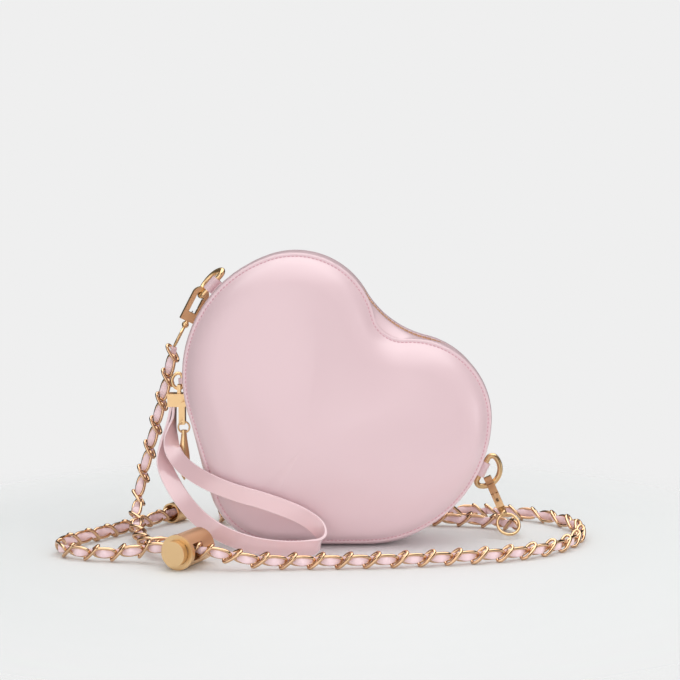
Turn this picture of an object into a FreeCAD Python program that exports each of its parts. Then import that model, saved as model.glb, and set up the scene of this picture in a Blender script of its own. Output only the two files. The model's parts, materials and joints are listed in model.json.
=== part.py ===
"""Heart shaped purse: a parametric document with one solid for each piece.

Millimetres, +Z up, -Y towards the front panel. The origin is the middle of the flat base.
The heart leans so that one of its straight flanks lies level and makes that base.
"""
import FreeCAD, Part
import math
import os

# Driving dimensions, one row of the sheet each

SIZES = {
    # Heart outline at the seams, one half: tip arc, flank, side arc, lobe arc, notch arc
    "tip_radius": 40.0,
    "flank_length": 52.0,
    "side_radius": 75.0,
    "lobe_radius": 48.5,
    "notch_radius": 17.5,
    "bridge_radius": 60.0,
    "flank_angle": 36.6,
    "side_end_angle": 125.0,
    # Panels and gusset
    "gusset_width": 40.0,
    "crown_width": 24.0,
    "gusset_crown": 2.5,
    "zip_crown": 1.0,
    "leather": 1.4,
    "padding": 3.0,
    "lining": 0.6,
    "panel_puff": 18.0,
    "seam_gap": 0.3,
    "overrun": 5.0,
    "board_thickness": 1.6,
    "board_margin": 3.0,
    # Zip
    "zip_flank_run": 8.0,
    "zip_end_angle": 75.0,
    "zip_mouth": 11.0,
    "tape_reach": 14.0,
    "tape_edge": 1.5,
    "tape_thickness": 0.8,
    "tooth_pitch": 3.0,
    "tooth_length": 0.95,
    "tooth_height": 2.6,
    "tooth_reach": 3.2,
    "tooth_overlap": 0.6,
    "stop_length": 2.4,
    # Slider and its pull
    "slider_angle": 39.6,
    "slider_length": 13.0,
    "slider_width": 10.0,
    "slider_plate": 1.2,
    "slider_clearance": 0.4,
    "slider_post_length": 2.0,
    "slider_post_width": 2.4,
    "ear_thickness": 1.1,
    "ear_length": 3.0,
    "ear_gap": 3.0,
    "pull_pin_radius": 0.7,
    "pull_pin_height": 1.6,
    "running_clearance": 0.06,
    "pull_tab_length": 12.0,
    "pull_tab_width": 2.7,
    "pull_tab_thickness": 1.4,
    "pull_hole_radius": 0.85,
    "drop_hole_radius": 1.15,
    "pull_ring_radius": 3.4,
    "pull_ring_wire": 0.55,
    "pull_drop_length": 31.0,
    "pull_drop_radius": 3.5,
    "pull_neck_radius": 1.7,
    # Rings on the rear seam
    "ring_bar": 14.6,
    "ring_corner": 3.0,
    "ring_turn_angle": 112.0,
    "ring_wire": 1.7,
    "right_stand_off": 7.5,
    "left_stand_off": 5.2,
    "right_ring_angle": 100.0,
    "left_ring_angle": 94.8,
    "left_ring_tilt": 24.0,
    "tab_width": 9.4,
    "tab_leather": 1.2,
    "tab_clearance": 0.2,
    "tab_seat": 0.6,
    # Wristlet
    "wrist_ring_angle": 49.2,
    "wrist_ring_bar": 5.0,
    "wrist_ring_corner": 2.3,
    "wrist_ring_wire": 1.0,
    "wrist_tab_width": 3.4,
    "wrist_depth": 12.0,
    "clamp_width": 10.6,
    "clamp_reach": 10.5,
    "clamp_height": 19.0,
    "clamp_cap": 8.0,
    "clamp_jaw": 3.6,
    "clamp_wall": 1.2,
    "lug_thickness": 2.0,
    "lug_hole_clearance": 0.8,
    "lug_wall": 0.9,
    "strap_width": 10.0,
    "strap_thickness": 1.7,
    "strap_clearance": 0.1,
    "clamp_rivet_radius": 1.0,
    # Snap hooks
    "left_hook_angle": 264.0,
    "right_hook_angle": 144.0,
    "hook_inner_width": 4.8,
    "hook_limb": 2.8,
    "left_hook_thickness": 2.8,
    "right_hook_thickness": 4.8,
    "hook_inner_length": 14.6,
    "hook_block": 6.0,
    "hook_seat": 0.9,
    "gate_slot": 2.3,
    "gate_gap": 0.3,
    "gate_top": 1.8,
    "gate_cheek": 3.2,
    "gate_tongue": 1.5,
    "gate_step": 0.7,
    "gate_tip_rise": 0.6,
    "rivet_radius": 0.7,
    "spring_leaf": 0.3,
    "spring_length": 3.4,
    "swivel_pin_radius": 1.3,
    "swivel_pin_length": 4.0,
    "swivel_ball_radius": 2.2,
    "eye_radius": 6.9,
    "eye_wire": 0.85,
    "eye_lead": 6.0,
    "left_eye_turn": 70.0,
    "right_eye_turn": 112.0,
    # Chain strap and what is on it
    "chain_width": 9.0,
    "lock_radius": 9.6,
    "lock_rim_radius": 10.0,
    "lock_rim": 3.0,
    "lock_length": 26.0,
    "lock_floor": 2.5,
    "lock_slot": 9.8,
    "lock_slot_place": 8.5,
    "lock_anchor_place": 19.0,
    "lock_turn": 24.0,
    "button_radius": 7.2,
    "button_proud": 4.6,
    "button_travel": 4.0,
    "button_inside": 17.5,
    "button_spring_radius": 4.6,
    "button_spring_wire": 0.45,
    "button_spring_turns": 3.0,
    "cap_radius": 6.5,
    "cap_length": 14.0,
    "cap_wall": 1.1,
    "cap_floor": 1.6,
    "cap_turn": 29.0,
    "cord_gap": 0.3,
}

# Puff of a panel: how far in from the seam, and how high, as shares of its run and its depth
PUFF_INSET_SHARES = (0.0, 0.08, 0.16, 0.32, 0.58, 1.0)
PUFF_HEIGHT_SHARES = (0.0, 0.1, 0.32, 0.66, 0.9, 1.0)
PUFF_RUN_SHARE = 0.92
# Pull drop: radius along its length, as shares
DROP_LENGTH_SHARES = (0.0, 0.12, 0.45, 0.78, 1.0)
DROP_RADIUS_SHARES = (0.5, 0.5, 0.9, 0.86, 0.0)
# Way that each hook hangs, as shares along X, Y and Z
LEFT_HANG_SHARES = (-0.46, 0.0, -0.89)
RIGHT_HANG_SHARES = (0.34, -0.52, -0.78)
# Straight pieces in each turn of the button's spring
COIL_SEGMENTS = 12
# Share of the shorter run that a cord's bend may take
BEND_SHARE = 0.45

# Routes of the chain strap: points chosen along its centre line
LOCK_FRONT = (-80.3, -79.8, 10.0)
CAP_MOUTH = (-98.0, 50.0, 6.5)
LEFT_FALL_ROUTE = [
    (-95.6, 23.6, 98.6), (-99.4, 24.6, 85.0), (-103.2, 25.6, 70.4), (-107.0, 26.0, 55.6),
    (-111.0, 25.4, 41.0), (-114.0, 22.6, 27.6), (-115.2, 15.4, 16.8), (-114.2, 3.6, 10.4),
    (-111.2, -9.6, 7.0), (-107.6, -22.4, 5.8), (-104.0, -33.9, 6.0), (-100.6, -42.4, 7.2),
    (-95.8, -49.4, 9.0),
]
TAIL_ROUTE = [
    (-101.2, 45.0, 6.0), (-110.4, 32.4, 5.0), (-119.6, 19.0, 4.5), (-128.6, 5.6, 4.5),
    (-138.2, -7.4, 4.5), (-147.0, -19.8, 4.5), (-153.6, -31.6, 4.5), (-152.6, -44.0, 4.5),
    (-143.6, -52.4, 4.5), (-131.2, -57.4, 4.5), (-117.6, -59.8, 4.9), (-104.4, -60.6, 6.8),
    (-93.4, -64.6, 9.4),
]
FRONT_ROUTE = [
    (-48.8, -81.0, 7.8), (-36.0, -80.4, 5.4), (-18.0, -78.2, 4.5), (4.0, -77.4, 4.5),
    (26.0, -76.0, 4.5), (48.0, -73.4, 4.5), (67.0, -69.6, 4.5), (84.0, -65.8, 4.5),
    (100.0, -61.2, 4.5), (115.0, -55.2, 4.5), (128.6, -47.2, 4.5), (140.2, -37.0, 4.5),
    (149.6, -24.4, 4.5), (156.4, -9.6, 4.5), (159.6, 6.0, 4.5), (158.0, 21.4, 4.5),
    (152.6, 35.4, 4.5), (144.2, 47.6, 4.5), (133.4, 57.2, 4.5), (119.0, 64.0, 4.5),
]
BACK_ROUTE = [
    (94.0, 67.6, 4.5), (72.0, 69.0, 4.5), (50.0, 70.0, 4.5), (28.0, 70.4, 4.5),
    (6.0, 70.6, 4.5), (-16.0, 71.8, 4.5), (-37.0, 73.4, 4.5), (-55.2, 73.6, 4.5),
    (-63.6, 67.5, 4.5), (-66.8, 57.6, 4.5), (-63.6, 47.7, 4.5), (-55.2, 41.6, 4.5),
    (-38.0, 41.9, 4.5), (-18.0, 42.6, 4.5), (3.0, 42.4, 4.5), (24.0, 42.6, 4.5),
    (44.0, 42.4, 4.5), (63.0, 42.0, 4.5), (81.0, 40.6, 4.5), (97.0, 37.4, 4.5),
    (110.4, 31.4, 4.5), (118.4, 23.6, 4.6),
]
# Wristlet strap, from one end in the clamp to the other: centre line from the floor below the clamp's
# mouth, as shares of the mouth's height, then the direction of its width
STRAP_SHARES = [
    ((-0.040, -0.012, 0.841), (0.1, 1.0, 0.0)), ((-0.064, -0.074, 0.705), (0.3, 0.9, -0.1)),
    ((-0.045, -0.198, 0.574), (0.5, 0.7, 0.3)), ((0.040, -0.346, 0.445), (0.6, 0.45, 0.6)),
    ((0.145, -0.482, 0.334), (0.5, 0.3, 0.8)), ((0.274, -0.600, 0.235), (0.4, 0.15, 0.9)),
    ((0.429, -0.686, 0.156), (0.25, 0.05, 0.97)), ((0.608, -0.742, 0.101), (0.12, 0.0, 0.99)),
    ((0.794, -0.774, 0.074), (0.02, 0.0, 1.0)), ((0.967, -0.779, 0.069), (0.0, 0.0, 1.0)),
    ((1.086, -0.764, 0.087), (0.2, -0.25, 0.95)), ((1.138, -0.725, 0.143), (0.4, -0.6, 0.7)),
    ((1.096, -0.695, 0.220), (0.55, -0.1, 0.8)), ((0.992, -0.687, 0.292), (0.35, 0.0, 0.9)),
    ((0.856, -0.683, 0.351), (0.3, 0.15, 0.94)), ((0.701, -0.673, 0.403), (0.28, 0.1, 0.95)),
    ((0.540, -0.648, 0.445), (0.28, 0.05, 0.95)), ((0.392, -0.589, 0.487), (0.32, 0.1, 0.94)),
    ((0.245, -0.495, 0.539), (0.4, 0.2, 0.9)), ((0.114, -0.366, 0.603), (0.42, 0.3, 0.85)),
    ((0.035, -0.255, 0.675), (0.5, 0.5, 0.7)), ((0.005, -0.181, 0.737), (0.55, 0.75, 0.3)),
    ((0.002, -0.099, 0.804), (0.4, 0.9, 0.1)), ((0.007, -0.027, 0.890), (0.1, 1.0, 0.05)),
]

DOC = FreeCAD.newDocument("heart_purse")
SHEET = DOC.addObject("Spreadsheet::Sheet", "Sizes")
for row, (alias, value) in enumerate(SIZES.items(), start=1):
    SHEET.set("A%d" % row, alias)
    SHEET.set("B%d" % row, str(value))
    SHEET.setAlias("B%d" % row, alias)
DOC.recompute()

NODES = {}


def size(alias):
    """A driving dimension, read from the sheet."""
    return float(SHEET.get(alias))


def radians(alias):
    """A driving angle, in radians."""
    return math.radians(size(alias))


def vector(point):
    return FreeCAD.Vector(*point)


def unit(direction):
    return FreeCAD.Vector(direction).normalize()


def frame(origin, x_axis, y_axis):
    """Placement whose own X and Y point along two directions at right angles."""
    x_axis = unit(x_axis)
    y_axis = unit(y_axis - x_axis * x_axis.dot(y_axis))
    return FreeCAD.Placement(origin, FreeCAD.Rotation(x_axis, y_axis, x_axis.cross(y_axis), "XYZ"))


def node(name, thing):
    """Name a finished piece, which also names its file."""
    thing.Label = name
    NODES[name] = thing
    return thing


def shape_piece(name, shape):
    """A piece whose form is worked out here from the sheet."""
    thing = DOC.addObject("Part::Feature", name)
    thing.Shape = shape
    return thing


def box(name, length, width, height, base=(0, 0, 0)):
    """A box bound to the sheet, centred on its own X and Y and standing on its base point."""
    thing = DOC.addObject("Part::Box", name)
    thing.setExpression("Length", length)
    thing.setExpression("Width", width)
    thing.setExpression("Height", height)
    DOC.recompute([thing])
    corner = FreeCAD.Vector(thing.Length.Value / 2, thing.Width.Value / 2, 0)
    thing.Placement = FreeCAD.Placement(vector(base) - corner, FreeCAD.Rotation())
    return thing


def cylinder(name, radius, height, base=(0, 0, 0), axis=(0, 0, 1)):
    """A cylinder bound to the sheet, standing on its base point along an axis."""
    thing = DOC.addObject("Part::Cylinder", name)
    thing.setExpression("Radius", radius)
    thing.setExpression("Height", height)
    thing.Placement = FreeCAD.Placement(vector(base), FreeCAD.Rotation(FreeCAD.Vector(0, 0, 1), vector(axis)))
    return thing


def fuse(name, pieces):
    thing = DOC.addObject("Part::MultiFuse", name)
    thing.Shapes = pieces
    return thing


def cut(name, base, tool):
    thing = DOC.addObject("Part::Cut", name)
    thing.Base = base
    thing.Tool = tool
    return thing


# Heart outline


def heart_arcs(notch_radius):
    """Arc centres of the right half, across and along the heart's axis, and the lobe's last heading."""
    turn = radians("flank_angle")
    end = radians("side_end_angle")
    tip = (0, size("tip_radius"))
    start = (tip[0] + size("tip_radius") * math.sin(turn), tip[1] - size("tip_radius") * math.cos(turn))
    corner = (start[0] + size("flank_length") * math.cos(turn), start[1] + size("flank_length") * math.sin(turn))
    side = (corner[0] - size("side_radius") * math.sin(turn), corner[1] + size("side_radius") * math.cos(turn))
    step = size("side_radius") - size("lobe_radius")
    lobe = (side[0] + step * math.sin(end), side[1] - step * math.cos(end))
    reach = size("lobe_radius") + notch_radius
    close = math.pi + math.asin(lobe[0] / reach)
    notch = (0, lobe[1] - reach * math.cos(close))
    return {"tip": tip, "side": side, "lobe": lobe, "notch": notch, "close": close}


FLANK_MIDDLE = (
    size("tip_radius") * math.sin(radians("flank_angle"))
    + size("flank_length") / 2 * math.cos(radians("flank_angle")),
    size("tip_radius") * (1 - math.cos(radians("flank_angle")))
    + size("flank_length") / 2 * math.sin(radians("flank_angle")),
)


def place(across, along, depth):
    """A point of the heart's own plane, in the frame of the part."""
    turn = radians("flank_angle")
    across = across - FLANK_MIDDLE[0]
    along = along - FLANK_MIDDLE[1]
    return FreeCAD.Vector(
        across * math.cos(turn) + along * math.sin(turn),
        depth,
        along * math.cos(turn) - across * math.sin(turn) + size("gusset_crown"),
    )


def on_arc(half, centre, radius, heading, depth):
    """A point of an arc of one half (1 right, -1 left) where the outline runs along a heading."""
    across = half * (centre[0] + radius * math.sin(heading))
    return place(across, centre[1] - radius * math.cos(heading), depth)


def arc_edge(start, middle, end):
    return Part.Arc(start, middle, end).toShape()


def heart_wire(inset, notch_radius, depth):
    """The heart's outline, drawn in by an inset, at a depth."""
    arcs = heart_arcs(notch_radius)
    turn = radians("flank_angle")
    end = radians("side_end_angle")
    close = arcs["close"]
    radius = {
        "tip": size("tip_radius") - inset,
        "side": size("side_radius") - inset,
        "lobe": size("lobe_radius") - inset,
        "notch": -(notch_radius + inset),
    }

    def spot(half, arc, heading):
        return on_arc(half, arcs[arc], radius[arc], heading, depth)

    edges = [arc_edge(spot(-1, "tip", turn), spot(1, "tip", 0), spot(1, "tip", turn))]
    edges.append(Part.LineSegment(spot(1, "tip", turn), spot(1, "side", turn)).toShape())
    edges.append(arc_edge(spot(1, "side", turn), spot(1, "side", (turn + end) / 2), spot(1, "side", end)))
    edges.append(arc_edge(spot(1, "lobe", end), spot(1, "lobe", (end + close) / 2), spot(1, "lobe", close)))
    edges.append(arc_edge(spot(1, "notch", close), spot(1, "notch", math.pi), spot(-1, "notch", close)))
    edges.append(arc_edge(spot(-1, "lobe", close), spot(-1, "lobe", (end + close) / 2), spot(-1, "lobe", end)))
    edges.append(arc_edge(spot(-1, "side", end), spot(-1, "side", (turn + end) / 2), spot(-1, "side", turn)))
    edges.append(Part.LineSegment(spot(-1, "side", turn), spot(-1, "tip", turn)).toShape())
    return Part.Wire(edges)


def outline(name, inset, notch_radius, depth):
    return shape_piece(name, heart_wire(inset, notch_radius, depth))


def loft(name, sections, ruled):
    thing = DOC.addObject("Part::Loft", name)
    thing.Sections = sections
    thing.Solid = True
    thing.Ruled = ruled
    return thing


# Zip track: up the left side, over both lobes and down the right side


def zip_track():
    """Stretches of the track: half, arc centre, signed radius, first and last heading, length."""
    arcs = heart_arcs(size("bridge_radius"))
    turn = radians("flank_angle")
    end = radians("side_end_angle")
    close = arcs["close"]
    outset = size("zip_crown") - size("leather") - size("tape_thickness") / 2
    side = size("side_radius") + outset
    lobe = size("lobe_radius") + outset
    notch = -(size("bridge_radius") - outset)
    bends = [
        (-1, arcs["side"], side, turn, end),
        (-1, arcs["lobe"], lobe, end, close),
        (-1, arcs["notch"], notch, close, math.pi),
        (1, arcs["notch"], notch, math.pi, close),
        (1, arcs["lobe"], lobe, close, end),
        (1, arcs["side"], side, end, radians("zip_end_angle")),
    ]
    return [bend + (abs(bend[2] * (bend[4] - bend[3])),) for bend in bends]


TRACK = zip_track()
TRACK_LENGTH = size("zip_flank_run") + sum(bend[5] for bend in TRACK)


def track_frame(distance, depth=0.0):
    """Placement on the track: X along it, Y to the rear, Z outwards."""
    before_bend = max(size("zip_flank_run") - distance, 0.0)
    left = max(distance - size("zip_flank_run"), 0.0)
    bends = list(TRACK)
    while len(bends) > 1 and left > bends[0][5]:
        left = left - bends.pop(0)[5]
    half, centre, radius, first, last, length = bends[0]
    heading = first + (last - first) * left / length
    outward = place(half * math.sin(heading), -math.cos(heading), 0) - place(0, 0, 0)
    rear = FreeCAD.Vector(0, 1, 0)
    along = rear.cross(outward)
    return frame(on_arc(half, centre, radius, heading, depth) - along * before_bend, along, rear)


def side_frame(half, heading, outset, depth):
    """Placement beside the seam on a side arc: X along the zip's way, Y outwards."""
    arcs = heart_arcs(size("notch_radius"))
    spot = on_arc(half, arcs["side"], size("side_radius") + outset, heading, depth)
    outward = place(half * math.sin(heading), -math.cos(heading), 0) - place(0, 0, 0)
    return frame(spot, FreeCAD.Vector(0, 1, 0).cross(outward), outward)


# Padded panels


def panel_loft(name, facing, cover):
    """A solid puff behind a cover thickness: facing is 1 for the rear and -1 for the front."""
    layers = size("leather") + size("padding") + size("lining")
    run = min(size("tip_radius"), size("lobe_radius")) * PUFF_RUN_SHARE - layers
    sections = []
    for inset_share, height_share in zip(PUFF_INSET_SHARES, PUFF_HEIGHT_SHARES):
        inset = cover + run * inset_share
        depth = size("gusset_width") / 2 + (size("panel_puff") - cover) * height_share
        section = outline("%s_section" % name, inset, size("notch_radius"), facing * depth)
        sections.append(section)
    return loft(name, sections, False)


def padded_panel(end, facing):
    """Leather cover, foam and lining of one side, nested in each other."""
    layers = (("panel", "leather"), ("padding", "padding"), ("lining", "lining"))
    cover = 0.0
    for layer, thickness in layers:
        outer = panel_loft("%s_%s_outer" % (end, layer), facing, cover)
        cover = cover + size(thickness)
        inner = panel_loft("%s_%s_inner" % (end, layer), facing, cover)
        node("%s_%s" % (end, layer), cut("%s_%s" % (end, layer), outer, inner))


# Gusset


def zone(name, gap, upper):
    """Block that keeps the gusset above or below the ends of the zip."""
    first = track_frame(0.0).Base
    last = track_frame(TRACK_LENGTH).Base
    across = unit(last - first)
    rise = unit(across.cross(FreeCAD.Vector(0, 1, 0)))
    if not upper:
        rise = rise * -1
    reach = 2 * (size("side_radius") + size("lobe_radius"))
    back = FreeCAD.Vector(0, size("gusset_width"), 0)
    corners = [
        first - across * reach + rise * gap - back,
        last + across * reach + rise * gap - back,
        last + across * reach + rise * reach - back,
        first - across * reach + rise * reach - back,
    ]
    face = Part.Face(Part.makePolygon(corners + corners[:1]))
    return shape_piece(name, face.extrude(back * 2))


def band(name, stations, thickness, region):
    """A band of leather or tape round the heart, cut to a region: stations are depth, inset, notch."""
    outer = loft("%s_outer" % name, [outline("%s_line" % name, i, n, d) for d, i, n in stations], True)
    inner = loft("%s_inner" % name, [outline("%s_line" % name, i + thickness, n, d) for d, i, n in stations], True)
    thing = DOC.addObject("Part::Common", name)
    thing.Base = cut("%s_ring" % name, outer, inner)
    thing.Tool = region
    return node(name, thing)


def build_gusset():
    half = size("gusset_width") / 2
    crown = size("crown_width") / 2
    mouth = size("zip_mouth") / 2
    notch = size("notch_radius")
    bridge = size("bridge_radius")
    rise = -size("gusset_crown")
    zip_rise = -size("zip_crown")
    leather = size("leather")
    below = zone("gusset_zone", 0.0, False)
    above = zone("zip_zone", size("seam_gap"), True)
    lower = [(size("seam_gap") - half, 0.0, notch), (-crown, rise, bridge), (crown, rise, bridge), (half, 0.0, notch)]
    band("lower_gusset", lower, leather, below)
    front = [(-half, 0.0, notch), (-crown, zip_rise, bridge), (-mouth, zip_rise, bridge)]
    rear = [(mouth, zip_rise, bridge), (crown, zip_rise, bridge), (half, 0.0, notch)]
    band("front_zip_strip", front, leather, above)
    band("rear_zip_strip", rear, leather, above)
    under = zip_rise + leather
    tape = size("tape_thickness")
    edge = size("tape_edge")
    reach = min(size("tape_reach"), crown)
    band("front_zip_tape", [(-reach, under, bridge), (-edge, under, bridge)], tape, above)
    band("rear_zip_tape", [(edge, under, bridge), (reach, under, bridge)], tape, above)
    board = box(
        "base_board",
        "Sizes.flank_length - 2 * Sizes.board_margin",
        "Sizes.crown_width - 2 * Sizes.board_margin",
        "Sizes.board_thickness",
        (0, 0, leather),
    )
    node("base_board", board)


def build_zip_teeth():
    """Teeth of both tapes, half a pitch apart, past the slider's post."""
    pitch = size("tooth_pitch")
    start = slider_distance() - size("slider_length") / 2 + size("slider_post_length") + pitch / 2
    length = size("tooth_reach") + size("tooth_overlap")
    count = int((TRACK_LENGTH - size("stop_length") - pitch - start) / pitch)
    for end, facing, shift in (("front", -1, 0.0), ("rear", 1, pitch / 2)):
        teeth = []
        for index in range(count):
            tooth = Part.makeBox(size("tooth_length"), length, size("tooth_height"))
            middle = facing * (size("tooth_reach") - size("tooth_overlap")) / 2
            tooth.translate(FreeCAD.Vector(-size("tooth_length") / 2, middle - length / 2, -size("tooth_height") / 2))
            tooth.Placement = track_frame(start + shift + pitch * index).multiply(tooth.Placement)
            teeth.append(tooth)
        clear_of_tape = Part.makeCompound(teeth).cut(NODES["%s_zip_tape" % end].Shape)
        node("%s_zip_teeth" % end, shape_piece("%s_zip_teeth" % end, clear_of_tape))


def build_zip_stops():
    """A stop on each tape below the slider, and one across both tapes at the far end."""
    top = "Sizes.tooth_height / 2 - Sizes.tape_thickness / 2"
    lift = size("tape_thickness") / 2
    for end, facing in (("front", -1), ("rear", 1)):
        stop = box("%s_top_stop" % end, "Sizes.stop_length", "Sizes.tooth_reach - Sizes.tape_edge", top, (0, 0, lift))
        reach = facing * (size("tooth_reach") + size("tape_edge")) / 2
        stop.Placement = track_frame(size("stop_length"), reach).multiply(stop.Placement)
        node("%s_top_stop" % end, stop)
    stop = box("zip_bottom_stop", "Sizes.stop_length", "2 * Sizes.tooth_reach", top, (0, 0, lift))
    stop.Placement = track_frame(TRACK_LENGTH - size("stop_length")).multiply(stop.Placement)
    node("zip_bottom_stop", stop)


# Slider and pull


def slider_distance():
    """Place of the slider's middle along the track, at rest."""
    return size("zip_flank_run") + TRACK[0][2] * (radians("slider_angle") - radians("flank_angle"))


def build_slider():
    seat = track_frame(slider_distance())
    lift = size("tooth_height") / 2 + size("slider_clearance")
    plate = size("slider_plate")
    top = box("slider_top", "Sizes.slider_length", "Sizes.slider_width", "Sizes.slider_plate", (0, 0, lift))
    under = box(
        "slider_under", "Sizes.slider_length", "Sizes.slider_width", "Sizes.slider_plate", (0, 0, -lift - plate)
    )
    post_place = (size("slider_post_length") - size("slider_length")) / 2
    post = box(
        "slider_post",
        "Sizes.slider_post_length",
        "Sizes.slider_post_width",
        "Sizes.tooth_height + 2 * Sizes.slider_clearance + Sizes.slider_plate",
        (post_place, 0, -lift - plate / 2),
    )
    ears = []
    ear_place = (size("ear_gap") + size("ear_thickness")) / 2
    for facing in (-1, 1):
        ear = box(
            "slider_ear",
            "Sizes.ear_length",
            "Sizes.ear_thickness",
            "Sizes.slider_plate + Sizes.pull_pin_height + 2 * Sizes.pull_pin_radius",
            (0, facing * ear_place, lift),
        )
        ears.append(ear)
    pin_height = lift + plate + size("pull_pin_height")
    half_pin = size("ear_gap") / 2 + size("ear_thickness")
    bore = cylinder(
        "slider_pin_bore",
        "Sizes.pull_pin_radius",
        "Sizes.ear_gap + 2 * Sizes.ear_thickness",
        (0, -half_pin, pin_height),
        (0, 1, 0),
    )
    slider = cut("zip_slider", fuse("slider_block", [top, under, post] + ears), bore)
    slider.Placement = seat
    node("zip_slider", slider)
    pin = cylinder(
        "zip_pull_pin",
        "Sizes.pull_pin_radius",
        "Sizes.ear_gap + 2 * Sizes.ear_thickness",
        (0, -half_pin, pin_height),
        (0, 1, 0),
    )
    pin.Placement = seat.multiply(pin.Placement)
    node("zip_pull_pin", pin)
    build_pull(seat.multVec(FreeCAD.Vector(0, 0, pin_height)))


def build_pull(pivot):
    """The pull hangs straight down from its pin: a tab, a ring and a drop."""
    hang = frame(pivot, FreeCAD.Vector(0, 0, -1), FreeCAD.Vector(0, 1, 0))
    eye = cylinder(
        "pull_tab_eye",
        "Sizes.pull_pin_radius + Sizes.pull_tab_thickness / 2",
        "Sizes.pull_tab_width",
        (0, -size("pull_tab_width") / 2, 0),
        (0, 1, 0),
    )
    length = size("pull_tab_length")
    blade = box(
        "pull_tab_blade",
        "Sizes.pull_tab_length",
        "Sizes.pull_tab_width",
        "Sizes.pull_tab_thickness",
        (length / 2, 0, -size("pull_tab_thickness") / 2),
    )
    bore = cylinder(
        "pull_tab_bore",
        "Sizes.pull_pin_radius + Sizes.running_clearance",
        "Sizes.pull_tab_width",
        (0, -size("pull_tab_width") / 2, 0),
        (0, 1, 0),
    )
    hole_place = length - size("pull_tab_width") / 2
    hole = cylinder(
        "pull_tab_hole",
        "Sizes.pull_hole_radius",
        "2 * Sizes.pull_tab_thickness",
        (hole_place, 0, -size("pull_tab_thickness")),
    )
    drilled = cut("pull_tab_drilled", fuse("pull_tab_blank", [eye, blade]), bore)
    tab = cut("zip_pull_tab", drilled, hole)
    tab.Placement = hang
    node("zip_pull_tab", tab)
    ring = DOC.addObject("Part::Torus", "zip_pull_ring")
    ring.setExpression("Radius1", "Sizes.pull_ring_radius")
    ring.setExpression("Radius2", "Sizes.pull_ring_wire")
    middle = hole_place + size("pull_ring_radius")
    turned = frame(FreeCAD.Vector(middle, 0, 0), FreeCAD.Vector(1, 0, 0), FreeCAD.Vector(0, 0, 1))
    ring.Placement = hang.multiply(turned)
    node("zip_pull_ring", ring)
    build_drop(hang, middle + size("pull_ring_radius"))


def build_drop(hang, hole_place):
    """A round drop turned about its own length, with a cross hole for the ring in its neck."""
    body = DOC.addObject("PartDesign::Body", "pull_drop_body")
    sketch = body.newObject("Sketcher::SketchObject", "pull_drop_profile")
    plane = [face for face in body.Origin.OriginFeatures if face.Role == "XZ_Plane"][0]
    sketch.AttachmentSupport = [(plane, "")]
    sketch.MapMode = "FlatFace"
    points = []
    for length_share, radius_share in zip(DROP_LENGTH_SHARES, DROP_RADIUS_SHARES):
        points.append((size("pull_drop_radius") * radius_share, -size("pull_drop_length") * length_share))
    neck, shoulder, waist, belly, tip = [FreeCAD.Vector(x, y, 0) for x, y in points]
    swell = Part.BSplineCurve()
    swell.interpolate([shoulder, waist, belly, tip])
    sketch.addGeometry(Part.LineSegment(FreeCAD.Vector(0, 0, 0), neck))
    sketch.addGeometry(Part.LineSegment(neck, shoulder))
    sketch.addGeometry(swell)
    sketch.addGeometry(Part.LineSegment(tip, FreeCAD.Vector(0, 0, 0)))
    DOC.recompute()
    turned = body.newObject("PartDesign::Revolution", "pull_drop_turned")
    turned.Profile = sketch
    turned.ReferenceAxis = (sketch, ["V_Axis"])
    turned.Angle = 360
    DOC.recompute()
    bore = cylinder(
        "pull_drop_bore",
        "Sizes.drop_hole_radius",
        "4 * Sizes.pull_neck_radius",
        (-2 * size("pull_neck_radius"), 0, -size("pull_neck_radius")),
        (1, 0, 0),
    )
    drop = cut("zip_pull_drop", body, bore)
    start = hang.multVec(FreeCAD.Vector(hole_place - size("pull_neck_radius"), 0, 0))
    drop.Placement = FreeCAD.Placement(start, FreeCAD.Rotation())
    node("zip_pull_drop", drop)


# Rings and their leather tabs


def ring_path(prefix):
    """Centre line of a ring with a straight bar: bar length, corner radius, bow radius, bow centre."""
    bar = size("%sring_bar" % prefix)
    corner = size("%sring_corner" % prefix)
    turn = radians("ring_turn_angle")
    bow = corner + bar / 2 / math.sin(turn)
    return bar, corner, bow, corner + (bow - corner) * math.cos(turn)


def ring_spot(prefix, heading):
    """A point of the ring's centre line where it runs along a heading, the bar running along X."""
    bar, corner, bow, bow_centre = ring_path(prefix)
    turn = radians("ring_turn_angle")
    if heading <= turn:
        return FreeCAD.Vector(bar / 2 + corner * math.sin(heading), corner - corner * math.cos(heading), 0)
    if heading < 2 * math.pi - turn:
        return FreeCAD.Vector(bow * math.sin(heading), bow_centre - bow * math.cos(heading), 0)
    return FreeCAD.Vector(corner * math.sin(heading) - bar / 2, corner - corner * math.cos(heading), 0)


def build_ring(name, prefix, wire_radius, seat):
    """A wire ring with a straight bar along its X, bowed along its Y."""
    turn = radians("ring_turn_angle")
    full = 2 * math.pi
    stops = [0.0, turn, full - turn, full]
    edges = [Part.LineSegment(ring_spot(prefix, full), ring_spot(prefix, 0.0)).toShape()]
    for first, last in zip(stops[:-1], stops[1:]):
        spots = [ring_spot(prefix, first), ring_spot(prefix, (first + last) / 2), ring_spot(prefix, last)]
        edges.append(arc_edge(*spots))
    start = ring_spot(prefix, full)
    section = Part.Wire(Part.makeCircle(wire_radius, start, FreeCAD.Vector(1, 0, 0)))
    ring = shape_piece(name, Part.Wire(edges).makePipeShell([section], True, True))
    ring.Placement = seat
    return node(name, ring)


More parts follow.
